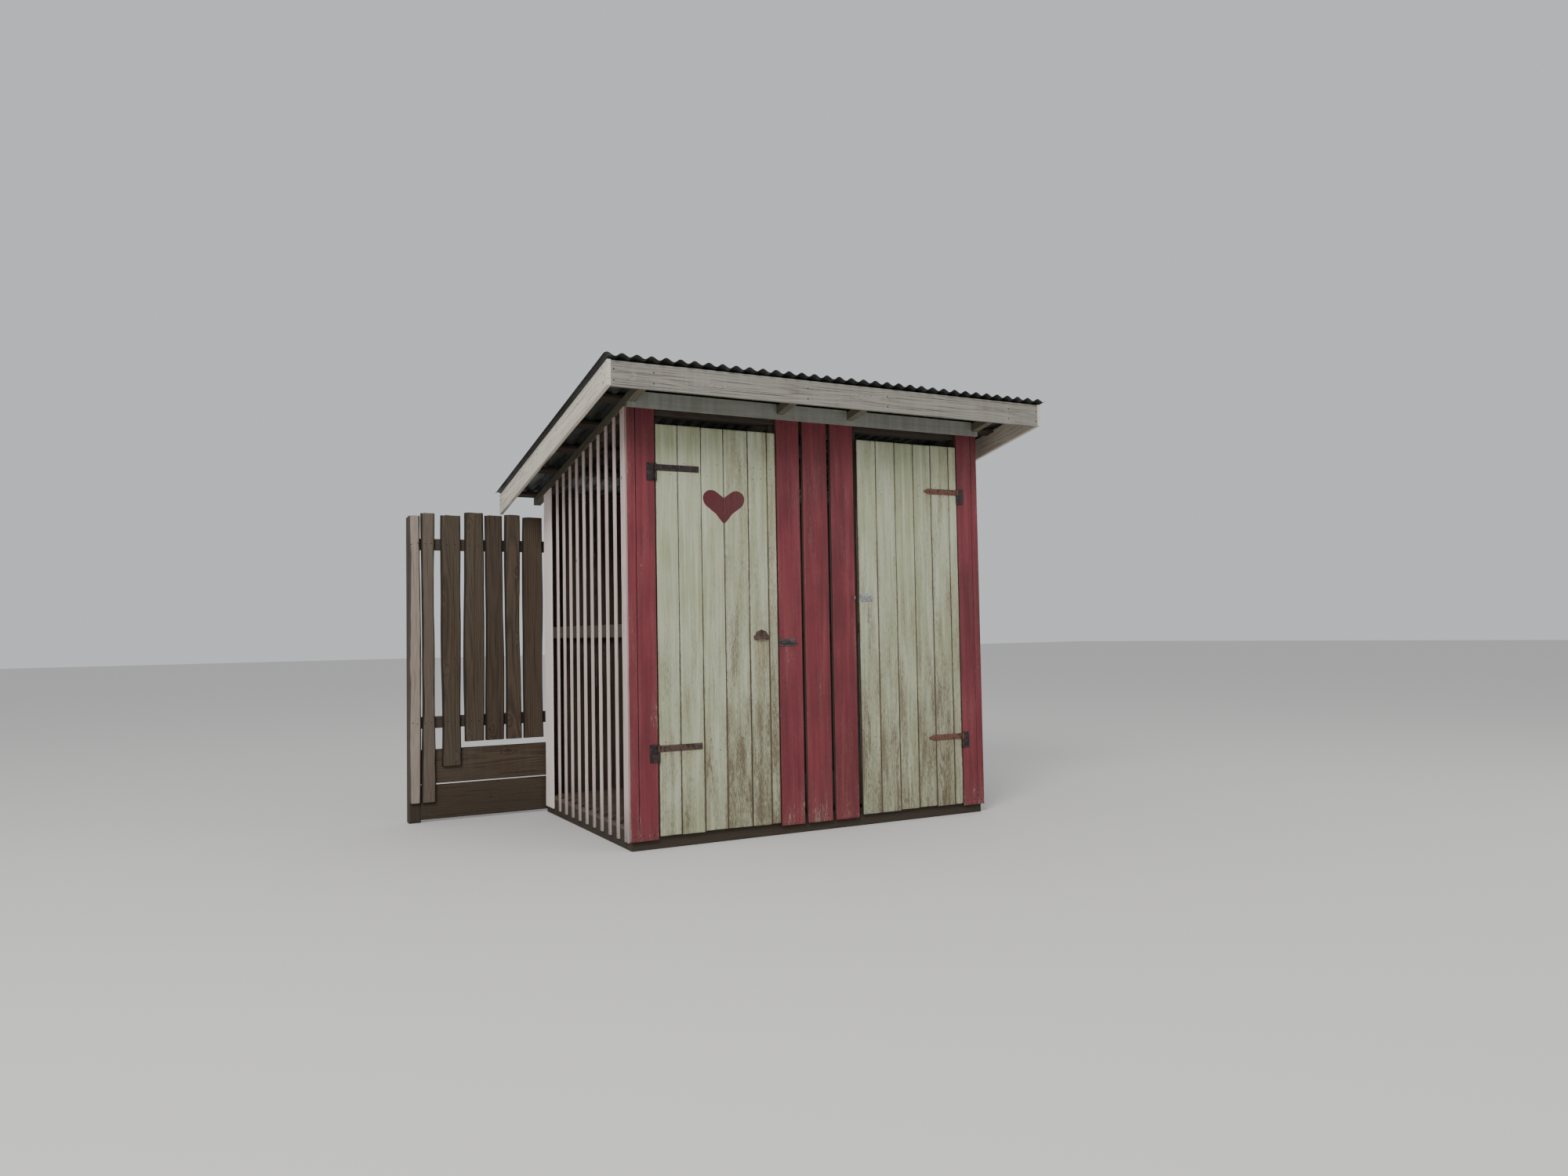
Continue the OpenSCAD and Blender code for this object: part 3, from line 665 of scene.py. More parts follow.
def under(y):
    """Height of the rafters' underside at a place y."""
    return plate_high.z - (y - plate_low.y) * FALL


print("left door boards:", len(boxes_of("left_door_boards")), "back boards:", len(boxes_of("back_boards")))

# %% [markdown]
# ## A board
#
# A sawn board looks real through three things that a plain box lacks: its arrises are rounded, its faces are
# not flat, and no two are alike. Each board is a row of cross-sections along its run. Every point also stores
# its place in the board, a random tone that is the board's own, and its skin: how near an arris it is,
# whether it faces the weather, and how near an end. The materials above read those three. A bevelled box
# would give the arrises, but not the wavering edges, the sloping cuts and the stored coordinates.

# %% Boards from cross-sections
def settle(name, mesh, body, slot, *nodes):
    """Makes a mesh an object that rides on a body, and takes CAD nodes' place. Its slot is not used."""
    made = link(name, mesh)
    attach(made, body)
    if nodes:
        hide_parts(*nodes)
    print(f"{name}: {len(mesh.polygons)} faces, rides on {body}")


def store(mesh, label, values):
    stored = mesh.attributes.new(label, "FLOAT_VECTOR", "POINT")
    stored.data.foreach_set("vector", np.array(values, np.float32).ravel())


def section(thick, arris, ribs):
    """Points round a section: (share of the width, offset from there, depth, arris, weather side)."""
    near = 3.5 * arris
    bend = 0.29 * arris
    face = [(0, arris), (0, arris + near)] + [((i + 1) / (ribs + 1), 0.0) for i in range(ribs)]
    face += [(1, -arris - near), (1, -arris)]
    ring = [(s, o, 0.0, float(abs(o) == arris), 1.0) for s, o in face]
    ring += [(1, -bend, bend, 1.0, 0.9), (1, 0.0, arris, 1.0, 0.7)]
    ring += [(1, 0.0, thick - arris, 1.0, 0.2), (1, -bend, thick - bend, 1.0, 0.1)]
    ring += [(s, o, thick, float(abs(o) == arris), 0.0) for s, o in reversed(face)]
    ring += [(0, bend, thick - bend, 1.0, 0.1), (0, 0.0, thick - arris, 1.0, 0.2)]
    ring += [(0, 0.0, arris, 1.0, 0.7), (0, bend, bend, 1.0, 0.9)]
    return ring


class Stack:
    """Boards and nail heads that become one piece."""

    def __init__(self, seed):
        self.chance = random.Random(seed)
        self.points, self.faces, self.smooth = [], [], []
        self.grain, self.tone, self.skin = [], [], []

    def board(self, place, length, width, thick, arris=0.0015, step=0.06, ribs=2, rough=0.0006, waver=0.0008,
              foot=None, head=None, left=None, right=None, wane=0.0, wear=None):
        """One board. foot and head give how far each end is cut back at a place across it, left and right how
        far each edge is cut back at a place along it, wane how far the log's own round reaches into the face,
        and wear how worn its coat is, from 0 to 1. On bare wood a wear of 1 takes a paler colour, which on the
        end boards of the slatted sides is painted sky light."""
        tone = [self.chance.random() for _ in range(3)]
        if wear is not None:
            tone[2] = wear
        seed = Vector(tone) * 50

        def uneven(*spot):
            return noise.noise(seed + Vector(spot))

        ring = section(thick, arris, ribs)
        inner = max(2, round(length / step))
        lift = arris * 0.7
        end_band = arris + 0.012
        stations = [0.0, arris, end_band]
        stations += [length * i / inner for i in range(1, inner)]
        stations += [length - end_band, length - arris, length]
        first = len(self.points)
        for k, u in enumerate(stations):
            at_end = k in (0, len(stations) - 1)
            near_left = left(u) if left else 0.0
            near_right = right(u) if right else 0.0
            near_left += waver * (0.5 + 0.5 * uneven(u * 4.1, 0, 0))
            near_right += waver * (0.5 + 0.5 * uneven(u * 4.1, 9, 0))
            for share, offset, depth, arris_mark, weather_mark in ring:
                slope = wane * (1 - depth / thick) ** 1.6
                low = near_left + slope * (0.6 + 0.4 * uneven(u * 9, 3, 0))
                high = width - near_right - slope * (0.6 + 0.4 * uneven(u * 9, 6, 0))
                v = low + (high - low) * share + offset
                swell = rough * (0.5 + 0.5 * uneven(u * 7, v * 45, depth * 60))
                w = depth + (swell if depth < thick / 2 else -swell)
                if at_end:
                    v = min(max(v, low + lift), high - lift)
                    w = min(max(w, lift), thick - lift)
                cut_foot = foot(v) if foot else 0.0
                cut_head = head(v) if head else 0.0
                along = cut_foot + (length - cut_foot - cut_head) * u / length
                self.points.append(place @ Vector((along, v, w)))
                self.grain.append((along, v, w))
                self.tone.append(tone)
                self.skin.append((arris_mark, weather_mark, float(at_end)))
        flip = place.to_3x3().determinant() < 0
        last = self.tube(first, len(stations), len(ring), flip)
        self.add(tuple(last + j for j in range(len(ring))), flip, False)

    def add(self, corners, flip=False, smooth=True):
        self.faces.append(tuple(reversed(corners)) if flip else corners)
        self.smooth.append(smooth)

    def tube(self, first, rows, n, flip=False):
        """Faces over rows of n points, and over the first row's end. Returns where the last row starts."""
        for a in range(first, first + (rows - 1) * n, n):
            for j in range(n):
                k = (j + 1) % n
                self.add((a + j, a + k, a + n + k, a + n + j), flip)
        self.add(tuple(first + j for j in reversed(range(n))), flip, False)
        return first + (rows - 1) * n

    def nail(self, at, out, radius=0.0036, rise=0.0012, sides=10):
        """A low domed head that stands on a surface at a point."""
        at, out = Vector(at), Vector(out)
        side = out.orthogonal().normalized()
        other = out.cross(side)
        first = len(self.points)
        spin = self.chance.random() * math.tau
        for share, height in ((1.0, -0.0004), (0.96, rise * 0.45), (0.6, rise * 0.9)):
            for j in range(sides):
                a = spin + math.tau * j / sides
                spoke = side * math.cos(a) + other * math.sin(a)
                self.points.append(at + spoke * radius * share + out * height)
        self.points.append(at + out * rise)
        last = self.tube(first, 3, sides)
        for j in range(sides):
            self.add((last + j, last + (j + 1) % sides, last + sides))
        count = 3 * sides + 1
        self.grain += [(0, 0, 0)] * count
        self.tone += [(self.chance.random(), 0, 0)] * count
        self.skin += [(0, 1, 0)] * count

    def sawn(self, node, slot, body="root"):
        """Turns the stack into the sawn piece that stands for a node."""
        self.piece(node + "_sawn", slot, body, slot, node)

    def piece(self, name, slot, body, finish, *nodes):
        mesh = bpy.data.meshes.new(name)
        mesh.from_pydata([tuple(p) for p in self.points], [], self.faces)
        for label, values in (("grain", self.grain), ("tone", self.tone), ("skin", self.skin)):
            store(mesh, label, values)
        mesh.polygons.foreach_set("use_smooth", self.smooth)
        mesh.materials.append(FINISH[finish])
        mesh.validate()
        settle(name, mesh, body, slot, *nodes)

# %% [markdown]
# ## Laying boards in the room of their solids
#
# A solid's longest side is the board's run and its shortest side its thickness. Given the direction that its
# face looks, `lay` returns the board's own axes and its three measures. Whole nodes of straight timber then
# need one row each.

# %% Straight timber
FRONT, BACK, LEFT, RIGHT, UP = (0, -1, 0), (0, 1, 0), (-1, 0, 0), (1, 0, 0), (0, 0, 1)
SIDES = {"left": LEFT, "right": RIGHT}
BEAM = dict(arris=0.003, step=0.12, rough=0.001, ribs=1)


def lay(low, high, out):
    """(place, length, width, thickness) of a board that fills a box and turns its weather face to out."""
    size = np.array(high) - np.array(low)
    through = int(np.argmax(np.abs(out)))
    rest = [axis for axis in range(3) if axis != through]
    along, across = sorted(rest, key=lambda axis: -size[axis])
    start = Vector(low)
    if out[through] > 0:
        start[through] = high[through]
    axes = (Vector([float(i == axis) for i in range(3)]) for axis in (along, across))
    return place_of(start, *axes, -Vector(out)), size[along], size[across], size[through]


def outward(low, high):
    return LEFT if low[0] + high[0] < 0 else RIGHT


for seed, (node, out, slot, ways) in enumerate((
    ("front_sill", FRONT, "frame_timber", BEAM),
    ("back_sill", BACK, "frame_timber", BEAM),
    ("side_sills", outward, "frame_timber", BEAM),
    ("floor_joist", UP, "frame_timber", BEAM),
    ("floor_boards", UP, "floor_timber", dict(step=0.1, rough=0.0008)),
    ("corner_posts", outward, "frame_timber", BEAM),
    ("jamb_posts", FRONT, "frame_timber", BEAM),
    ("front_plate", FRONT, "frame_timber", BEAM),
    ("back_plate", BACK, "frame_timber", BEAM),
    ("back_rail", BACK, "frame_timber", BEAM),
    ("fascia", FRONT, "eave_timber", dict(ribs=4, rough=0.0012, waver=0.002)),
    ("wing_post", BACK, "frame_timber", BEAM),
    ("wing_rails", BACK, "frame_timber", BEAM),
    ("wing_base_boards", FRONT, "slab_timber", dict(step=0.08, ribs=3)),
), 1):
    stack = Stack(seed)
    for low, high in boxes_of(node):
        stack.board(*lay(low, high, out(low, high) if callable(out) else out), **ways)
    stack.sawn(node, slot)

for seed, node in enumerate(("left_corner_boards", "middle_boards", "right_corner_boards"), 15):
    stack = Stack(seed)
    for low, high in boxes_of(node):
        outermost = max(-low[0], high[0]) > -front_left.x - 0.001
        stack.board(*lay(low, high, FRONT), ribs=3, arris=0.002, wear=float(outermost))
    stack.sawn(node, "red_paint")

# %% [markdown]
# ## Doors
#
# Each leaf is six boards, planed and painted on the weather side only, with a narrow dark joint between them,
# where the boards' sides are darkened with dirt and with painted shade.
# Their feet rot back unevenly, so each board's foot is cut a few millimetres short of its solid. The ledges
# and the brace behind them are plain sawn timber. The brace runs at a slant, so it takes its place from two
# points. Each leaf shuts against a stop, a lath on the side of the jamb post, so no light shows beside a shut
# door.

# %% Door leaves and ledges
LEDGE_HIGH = 0.095
BRACE_WIDE = 0.09
BOARD_WEAR = {"left": (0.04, 0.0, 0.1, 0.46, 0.42, 0.52), "right": (0.34, 0.36, 0.26, 0.34, 0.42, 0.3)}


def door_boards(side, seed):
    stack = Stack(seed)
    node = f"{side}_door_boards"
    for (low, high), wear in zip(boxes_of(node), BOARD_WEAR[side], strict=True):
        ragged = stack.chance.uniform(0.0, 0.006)
        shift = stack.chance.random() * 20
        stack.board(
            *lay(low, high, FRONT), ribs=3, arris=0.0014, rough=0.0007, wear=wear,
            foot=lambda v: ragged + 0.003 * (1 + noise.noise(Vector((v * 60, shift, 0)))),
            head=lambda v: ragged * 0.3,
        )
    stack.sawn(node, "door_paint", f"{side}_door")


def door_ledges(side, seed):
    """Two ledges, and a brace from the lower one's hinge end to the upper one's free end."""
    node = f"{side}_door_ledges"
    stack = Stack(seed)
    low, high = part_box(node)
    hinge, free, toward = (low.x, high.x, 1.0) if side == "left" else (high.x, low.x, -1.0)
    for z in (low.z, high.z - LEDGE_HIGH):
        stack.board(*lay((low.x, low.y, z), (high.x, high.y, z + LEDGE_HIGH), BACK), arris=0.002)
    foot = Vector((hinge, high.y, low.z + LEDGE_HIGH))
    top = Vector((free - toward * BRACE_WIDE, high.y, high.z - LEDGE_HIGH))
    run = (top - foot).normalized()
    across = Vector((run.z, 0, -run.x)) * toward
    slant = abs(run.x / run.z)
    width = BRACE_WIDE * run.z
    stack.board(
        place_of(foot, run, across, FRONT), (top - foot).length + width * slant, width, high.y - low.y,
        arris=0.002, foot=lambda v: v * slant, head=lambda v: (width - v) * slant,
    )
    stack.sawn(node, "floor_timber", f"{side}_door")


for number, side in enumerate(SIDES):
    door_boards(side, 30 + number)
    door_ledges(side, 40 + number)

STOP_WIDE, STOP_DEEP, STOP_CLEAR = 0.032, 0.03, 0.003
middle_left, middle_right = (corner.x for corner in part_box("middle_boards"))
post_low, post_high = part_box("jamb_posts")
floor_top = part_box("floor_boards")[1].z
stops = Stack(45)
for x in (middle_left - STOP_WIDE, middle_right):
    low = (x, post_low.y + STOP_CLEAR, max(post_low.z, floor_top) + STOP_CLEAR)
    high = (x + STOP_WIDE, low[1] + STOP_DEEP, post_high.z - STOP_CLEAR)
    stops.board(*lay(low, high, FRONT), step=0.12, ribs=1)
stops.piece("door_stops", "frame_timber", "root", "frame_timber")

# %% [markdown]
# ## Timber that follows the roof
#
# Barge boards and the top rails lie along the fall, with their ends cut plumb, that is, upright. On a board
# that slopes, a plumb cut leans against the board's own run by the same angle, so the ends are cut back in
# step with the width. The battens lie square to the fall, so they are laid in a frame that is tilted with the
# roof.

# %% Barge boards, side rails and battens
def sloping_board(stack, low, high, out, **ways):
    """A board along the fall that fills a box between two upright cuts."""
    tall = high[2] - low[2] - (high[1] - low[1]) * FALL
    start = Vector((low[0] if out == LEFT else high[0], low[1], high[2] - tall))
    stack.board(
        place_of(start, DOWN_ROOF, OFF_ROOF, -Vector(out)), (high[1] - low[1]) / math.cos(ROOF_FALL),
        tall * math.cos(ROOF_FALL), high[0] - low[0],
        foot=lambda v: -v * FALL, head=lambda v: v * FALL, **ways,
    )


for number, (side, out) in enumerate(SIDES.items()):
    stack = Stack(50 + number)
    sloping_board(stack, *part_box(f"{side}_barge_board"), out, ribs=4, rough=0.0012, waver=0.0015, arris=0.002)
    stack.sawn(f"{side}_barge_board", "barge_timber")

stack = Stack(52)
for low, high in boxes_of("side_rails"):
    out = outward(low, high)
    if high[2] - low[2] > (high[1] - low[1]) * FALL:
        sloping_board(stack, low, high, out, **BEAM)
    else:
        stack.board(*lay(low, high, out), **BEAM)
stack.sawn("side_rails", "frame_timber")

stack = Stack(53)
roof_axes = (RIGHT, DOWN_ROOF, OFF_ROOF)
batten_ys = []
for corners in solids_of("roof_battens"):
    flat = corners @ np.array(roof_axes).T
    place, *measures = lay(flat.min(0), flat.max(0), UP)
    stack.board(place_of((0, 0, 0), *roof_axes) @ place, *measures, step=0.12, arris=0.002, rough=0.001)
    batten_ys.append(float(corners[:, 1].mean()))
batten_ys.sort()
stack.sawn("roof_battens", "frame_timber")
print("battens at y", [round(y, 3) for y in batten_ys])

# %% [markdown]
# ## Slatted sides
#
# Slats are ripped laths: thin, a little uneven, and cut at the head to the fall of the rafter. The last board
# of each side keeps the log's own edge at the back, and its colour is brightened as painted sky light. Its
# edge is read from the corner points of its solid, so the board follows the solid wherever that goes.

# %% Slats and side end boards
def edge_reader(corners, across, last):
    """How far one edge of an upright solid stands back from its box, at a height over its foot."""
    low, high = corners.min(0), corners.max(0)
    middle = (low[across] + high[across]) / 2
    line = {}
    for point in corners:
        if (point[across] > middle) == last:
            line[round(point[2] - low[2], 4)] = abs(point[across] - (high if last else low)[across])
    places = sorted(line)
    return lambda u: float(np.interp(u, places, [line[p] for p in places]))


for number, (side, out) in enumerate(SIDES.items()):
    stack = Stack(60 + number)
    for low, high in boxes_of(f"{side}_slats"):
        stack.board(*lay(low, high, out), arris=0.0012, ribs=1, waver=0.002, rough=0.0008,
                    head=lambda v: v * FALL, wear=0.0)
    stack.sawn(f"{side}_slats", "slat_timber")

stack = Stack(62)
for corners in solids_of("side_end_boards"):
    low, high = corners.min(0), corners.max(0)
    # A wear of 1 gives the end boards the bright colour of their finish: painted sky light.
    stack.board(*lay(low, high, outward(low, high)), arris=0.0012, ribs=3, rough=0.001, wear=1.0,
                head=lambda v: v * FALL, right=edge_reader(corners, 1, True))
stack.sawn("side_end_boards", "slat_timber")

# %% [markdown]
# ## Slabs with the log's own edge
#
# The back wall and the screen wing are slabs: boards sawn from a log and never edged. Their sides waver, and
# the log's round leaves a sloping strip of bark on the face. The wane of a board does that, deepest at the
# weather face and gone at the inner one. In the back wall the slabs meet midway between their solids, so no
# light comes through. In the wing they were nailed up green and shrank, so each joint gapes in places and
# closes in others.

# %% Back wall and wing
def slabs(node, out, seed, wears, closing, waver):
    """Slabs with bark on both edges. closing(i, z) says how far the edges in the joint to the right of slab i
    are moved towards midway between their solids at a height z, from 0 to 1."""
    solids = solids_of(node)
    stack = Stack(seed)

    def edge(number, last):
        own = edge_reader(solids[number], 0, last)
        neighbour = number + 1 if last else number - 1
        if not 0 <= neighbour < len(solids):
            return own
        other = edge_reader(solids[neighbour], 0, not last)
        joint = min(number, neighbour)
        gap = solids[joint + 1][:, 0].min() - solids[joint][:, 0].max()
        foot = solids[number][:, 2].min()
        rise = foot - solids[neighbour][:, 2].min()

        def cut(u):
            middle = (own(u) - other(u + rise) - gap) / 2
            return own(u) + (middle - own(u)) * closing(joint, foot + u)

        return cut

    for number, (low, high) in enumerate(boxes_of(node)):
        stack.board(
            *lay(low, high, out), arris=0.0015, ribs=3, rough=0.0015, wane=0.011, waver=waver,
            head=lambda v: 0.004 * (1 + noise.noise(Vector((v * 50, seed, 0)))),
            left=edge(number, False), right=edge(number, True), wear=wears.get(number, 0.0),
        )
    stack.sawn(node, "slab_timber")


# How far each joint of the wing is closed at least, and how much more where the wave runs high.
WING_JOINTS = ((0.6, 0.4), (0.2, 0.15), (0.35, 0.35), (0.55, 0.45), (0.45, 0.55), (0.35, 0.65))


def wing_closing(joint, z):
    least, more = WING_JOINTS[joint]
    wave = noise.noise(Vector((z * 1.7, joint * 5.3, 0))) * 1.6 + 0.5
    return least + more * min(max(wave, 0.0), 1.0)


# Every slab takes the darkened slab colours, which are partly painted shade.
slabs("wing_boards", FRONT, 71, {0: 1.0, 1: 0.87}, wing_closing, 0.003)
slabs("back_boards", BACK, 70, {}, lambda joint, z: 1.0, 0.0)

# %% [markdown]
# ## Rafters and frieze
#
# The rafters are notched over the plates and the frieze is notched round the rafters. Those cuts are already
# in the solids, so both nodes stay as they are and only get their finish.

# %% Finishes of the notched timbers
for node, finish in (("rafters", "rafter_timber"), ("frieze", "frieze_timber")):
    solid = frame["nodes"][node]
    solid.data.materials.clear()
    solid.data.materials.append(FINISH[finish])
    print(node, "keeps its solid and gets", finish)

# %% [markdown]
# ## Corrugated sheets
#
# Three sheets cover the roof. Each is a true wave with real thickness, laid down the fall, and the middle one
# rides on the last wave of both neighbours. The wave is cut finer here than in the solids, so that the front
# edge draws a clean curve, and the sheets sag a hair between battens, as thin steel does.

# %% Roof sheets
WAVE_PITCH, WAVE_HIGH, SHEET_THICK = 0.076, 0.018, 0.0012
EDGE_CLEAR, SAG, EDGE_REACH = 0.00001, 0.0008, 0.12
PER_WAVE, ALONG = 16, 44


def wave(turns):
    """Height of the wave over its trough, so many whole waves from the sheet's edge."""
    return WAVE_HIGH / 2 * (1 + math.sin(math.tau * turns))


def roof_sheet(side, seed):
    node = f"roof_sheet_{side}"
    low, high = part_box(node)
    front = [v.co.z for v in frame["nodes"][node].data.vertices if v.co.y < low.y + 0.002]
    origin = Vector((low.x, low.y, min(front)))
    run = (high.y - low.y - (WAVE_HIGH + SHEET_THICK) * math.sin(ROOF_FALL)) / math.cos(ROOF_FALL)
    waves = round((high.x - low.x) / WAVE_PITCH)
    pitch = (high.x - low.x - EDGE_CLEAR) / waves
    across = waves * PER_WAVE
    shift = random.Random(seed).random() * 30
    tilt = Matrix.Rotation(-ROOF_FALL, 4, "X")
    points, skin = [], []
    for top in (True, False):
        for j in range(ALONG + 1):
            for i in range(across + 1):
                x = i * pitch / PER_WAVE
                y = run * j / ALONG
                height = wave(i / PER_WAVE) + (SHEET_THICK if top else 0.0)
                dent = SAG * noise.noise(Vector((x * 3 + shift, y * 4, 0)))
                dent *= math.sin(math.pi * j / ALONG)
                points.append(Matrix.Translation(origin) @ tilt @ Vector((x, y, height + dent)))
                edge = max(0.0, 1.0 - min(y, run - y) / EDGE_REACH)
                skin.append((1.0 - wave(i / PER_WAVE) / WAVE_HIGH, 1.0 if top else 0.0, edge))
    row = across + 1
    layer = row * (ALONG + 1)
    faces = []
    for j in range(ALONG):
        for i in range(across):
            a = j * row + i
            faces.append((a, a + 1, a + row + 1, a + row))
            faces.append((layer + a, layer + a + row, layer + a + row + 1, layer + a + 1))
    for i in range(across):
        faces.append((i, layer + i, layer + i + 1, i + 1))
        a = ALONG * row + i
        faces.append((a, a + 1, layer + a + 1, layer + a))
    for j in range(ALONG):
        a = j * row
        faces.append((a, a + row, layer + a + row, layer + a))
        a += across
        faces.append((a, layer + a, layer + a + row, a + row))
    mesh = bpy.data.meshes.new(node + "_pressed")
    mesh.from_pydata([tuple(p) for p in points], [], faces)
    store(mesh, "skin", skin)
    mesh.polygons.foreach_set("use_smooth", [True] * len(faces))
    mesh.set_sharp_from_angle(angle=math.radians(50))
    mesh.materials.append(FINISH["roof_sheet"])
    settle(mesh.name, mesh, "root", "roof_sheet", node)
    return origin


sheet_origins = [roof_sheet(side, seed) for seed, side in enumerate(("left", "middle", "right"), 80)]

# %% [markdown]
# ## Nails
#
# Nails are small, but they tell the eye how big everything is and how the thing is held together. Each board
# has a pair wherever it crosses the timber behind it. They are low domes on the surface, gathered into one
# piece for each body that they ride on.

# %% Nails in the boards
RED_NAILS = (0.078, 2.262)
BACK_NAILS = (0.075, 1.125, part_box("back_plate")[0].z + 0.02)
WING_NAILS = (0.595, 1.675)
SLAT_NAILS = (0.065, 1.125)
SLAT_HEAD_DROP = 0.028
FASCIA_NAILS_X = (-1.105, -0.24, 0.26, 1.105, -1.31, 1.31)
FASCIA_NAILS_Z = (0.03, 0.085)
BARGE_DROPS = (0.045, 0.02)
LEDGE_NAILS = (0.018, 0.078)
FOOT_CLEAR, SUNK, SLAB_SUNK = 0.005, 0.0003, 0.0008
SLAT_HEAD, EAVE_HEAD = 0.0028, 0.004
wall_nails = Stack(90)


def nail_pair(stack, low, high, z, out, sunk=SUNK, spread=0.24, **ways):
    """Two nails across an upright board at one height, or one if it is narrow."""
    width = high[0] - low[0]
    y = low[1] + sunk if out == FRONT else high[1] - sunk
    for share in ((spread, 1 - spread) if width > 0.06 else (0.5,)):
        jitter = stack.chance.uniform(-0.004, 0.004)
        stack.nail((low[0] + width * share + jitter, y, z + jitter), out, **ways)


for nodes, heights, out, sunk, spread in (
    (("left_corner_boards", "middle_boards", "right_corner_boards"), RED_NAILS, FRONT, SUNK, 0.24),
    (("back_boards",), BACK_NAILS, BACK, SLAB_SUNK, 0.3),
    (("wing_boards",), WING_NAILS, FRONT, SLAB_SUNK, 0.3),
):
    for low, high in (box for node in nodes for box in boxes_of(node)):
        for z in heights:
            if z > low[2] + FOOT_CLEAR:
                nail_pair(wall_nails, low, high, z, out, sunk, spread)

for side, out in SIDES.items():
    for low, high in boxes_of(f"{side}_slats"):
        x = low[0] + 0.0004 if side == "left" else high[0] - 0.0004
        y = (low[1] + high[1]) / 2
        for z in (*SLAT_NAILS, under(y) - SLAT_HEAD_DROP):
            wall_nails.nail((x, y + wall_nails.chance.uniform(-0.003, 0.003), z), out, radius=SLAT_HEAD)

fascia_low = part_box("fascia")[0]
for x in FASCIA_NAILS_X:
    for z in FASCIA_NAILS_Z:
        wall_nails.nail((x, fascia_low.y + 0.0005, fascia_low.z + z), FRONT, radius=EAVE_HEAD)
for side, out in SIDES.items():
    low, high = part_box(f"{side}_barge_board")
    x = low.x + 0.0005 if side == "left" else high.x - 0.0005
    for y in batten_ys:
        for drop in BARGE_DROPS:
            top = high.z - (y - low.y) * FALL
            wall_nails.nail((x, y + drop * 0.4, top - drop), out, radius=EAVE_HEAD)
wall_nails.piece("wall_nails", "dark_iron", "root", "dark_iron")

for number, side in enumerate(SIDES):
    stack = Stack(91 + number)
    ledge_low, ledge_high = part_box(f"{side}_door_ledges")
    rows = [ledge_low.z + rise for rise in LEDGE_NAILS] + [ledge_high.z - drop for drop in LEDGE_NAILS]
    for low, high in boxes_of(f"{side}_door_boards"):
        for z in rows:
            nail_pair(stack, low, high, z, FRONT, SUNK, 0.3, radius=0.0028, rise=0.0009)
    stack.piece(f"{side}_door_nails", "door_paint", f"{side}_door", "painted_nail")

# %% [markdown]
# ## Roof nails
#
# Sheets are nailed on the crests, every third wave, into each batten, with a wide washer under a domed head
# so that rain can't follow the shank down. Where two sheets lap, the crest stands one thickness higher.

# %% Roof nails
CREST = 0.25
roof_nails = Stack(95)
left_origin = sheet_origins[0]
middle_low, middle_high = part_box("roof_sheet_middle")
for y in batten_ys:
    for count in range(1, 36, 3):
        x = left_origin.x + (count + CREST) * WAVE_PITCH
        sheets = 2 if middle_low.x < x < middle_high.x else 1
        trough = Vector((x, y, left_origin.z - (y - left_origin.y) * FALL))
        at = trough + OFF_ROOF * (WAVE_HIGH + SHEET_THICK * sheets)
        roof_nails.nail(at, OFF_ROOF, radius=0.011, rise=0.0016, sides=14)
        roof_nails.nail(at + OFF_ROOF * 0.0012, OFF_ROOF, radius=0.005, rise=0.0026, sides=10)
roof_nails.piece("roof_nails", "rusty_iron", "root", "rusty_iron")

# %% [markdown]
# ## Ironwork
#
# Forged and pressed pieces start as flat outlines. `Forge` raises an outline to its thickness, rounds every
# edge with a small bevel, and gathers the parts of one piece. Rods are short cylinders with rounded rims, and
# heads are flattened balls. Wires and bent strips are drawn as a row of equal sections along a path. The
# parts could be carved from the solids instead, but a fresh outline keeps clean faces.

# %% Plates, rods and heads
TO_FRONT = Matrix(((1, 0, 0), (0, 0, -1), (0, 1, 0))).to_4x4()
MIRROR = Matrix.Diagonal((-1, 1, 1, 1))
SHARP_IRON = math.radians(38)


def on_front(x, y, z, mirrored=False):
    """Turns an outline's own plane upright on the front, facing the weather, with its origin at a point."""
    return Matrix.Translation((x, y, z)) @ (MIRROR if mirrored else Matrix.Identity(4)) @ TO_FRONT


def closed(lower):
    """A whole outline from its lower half. A point on the middle line is taken once."""
    return lower + [(x, -y) for x, y in reversed(lower) if y]


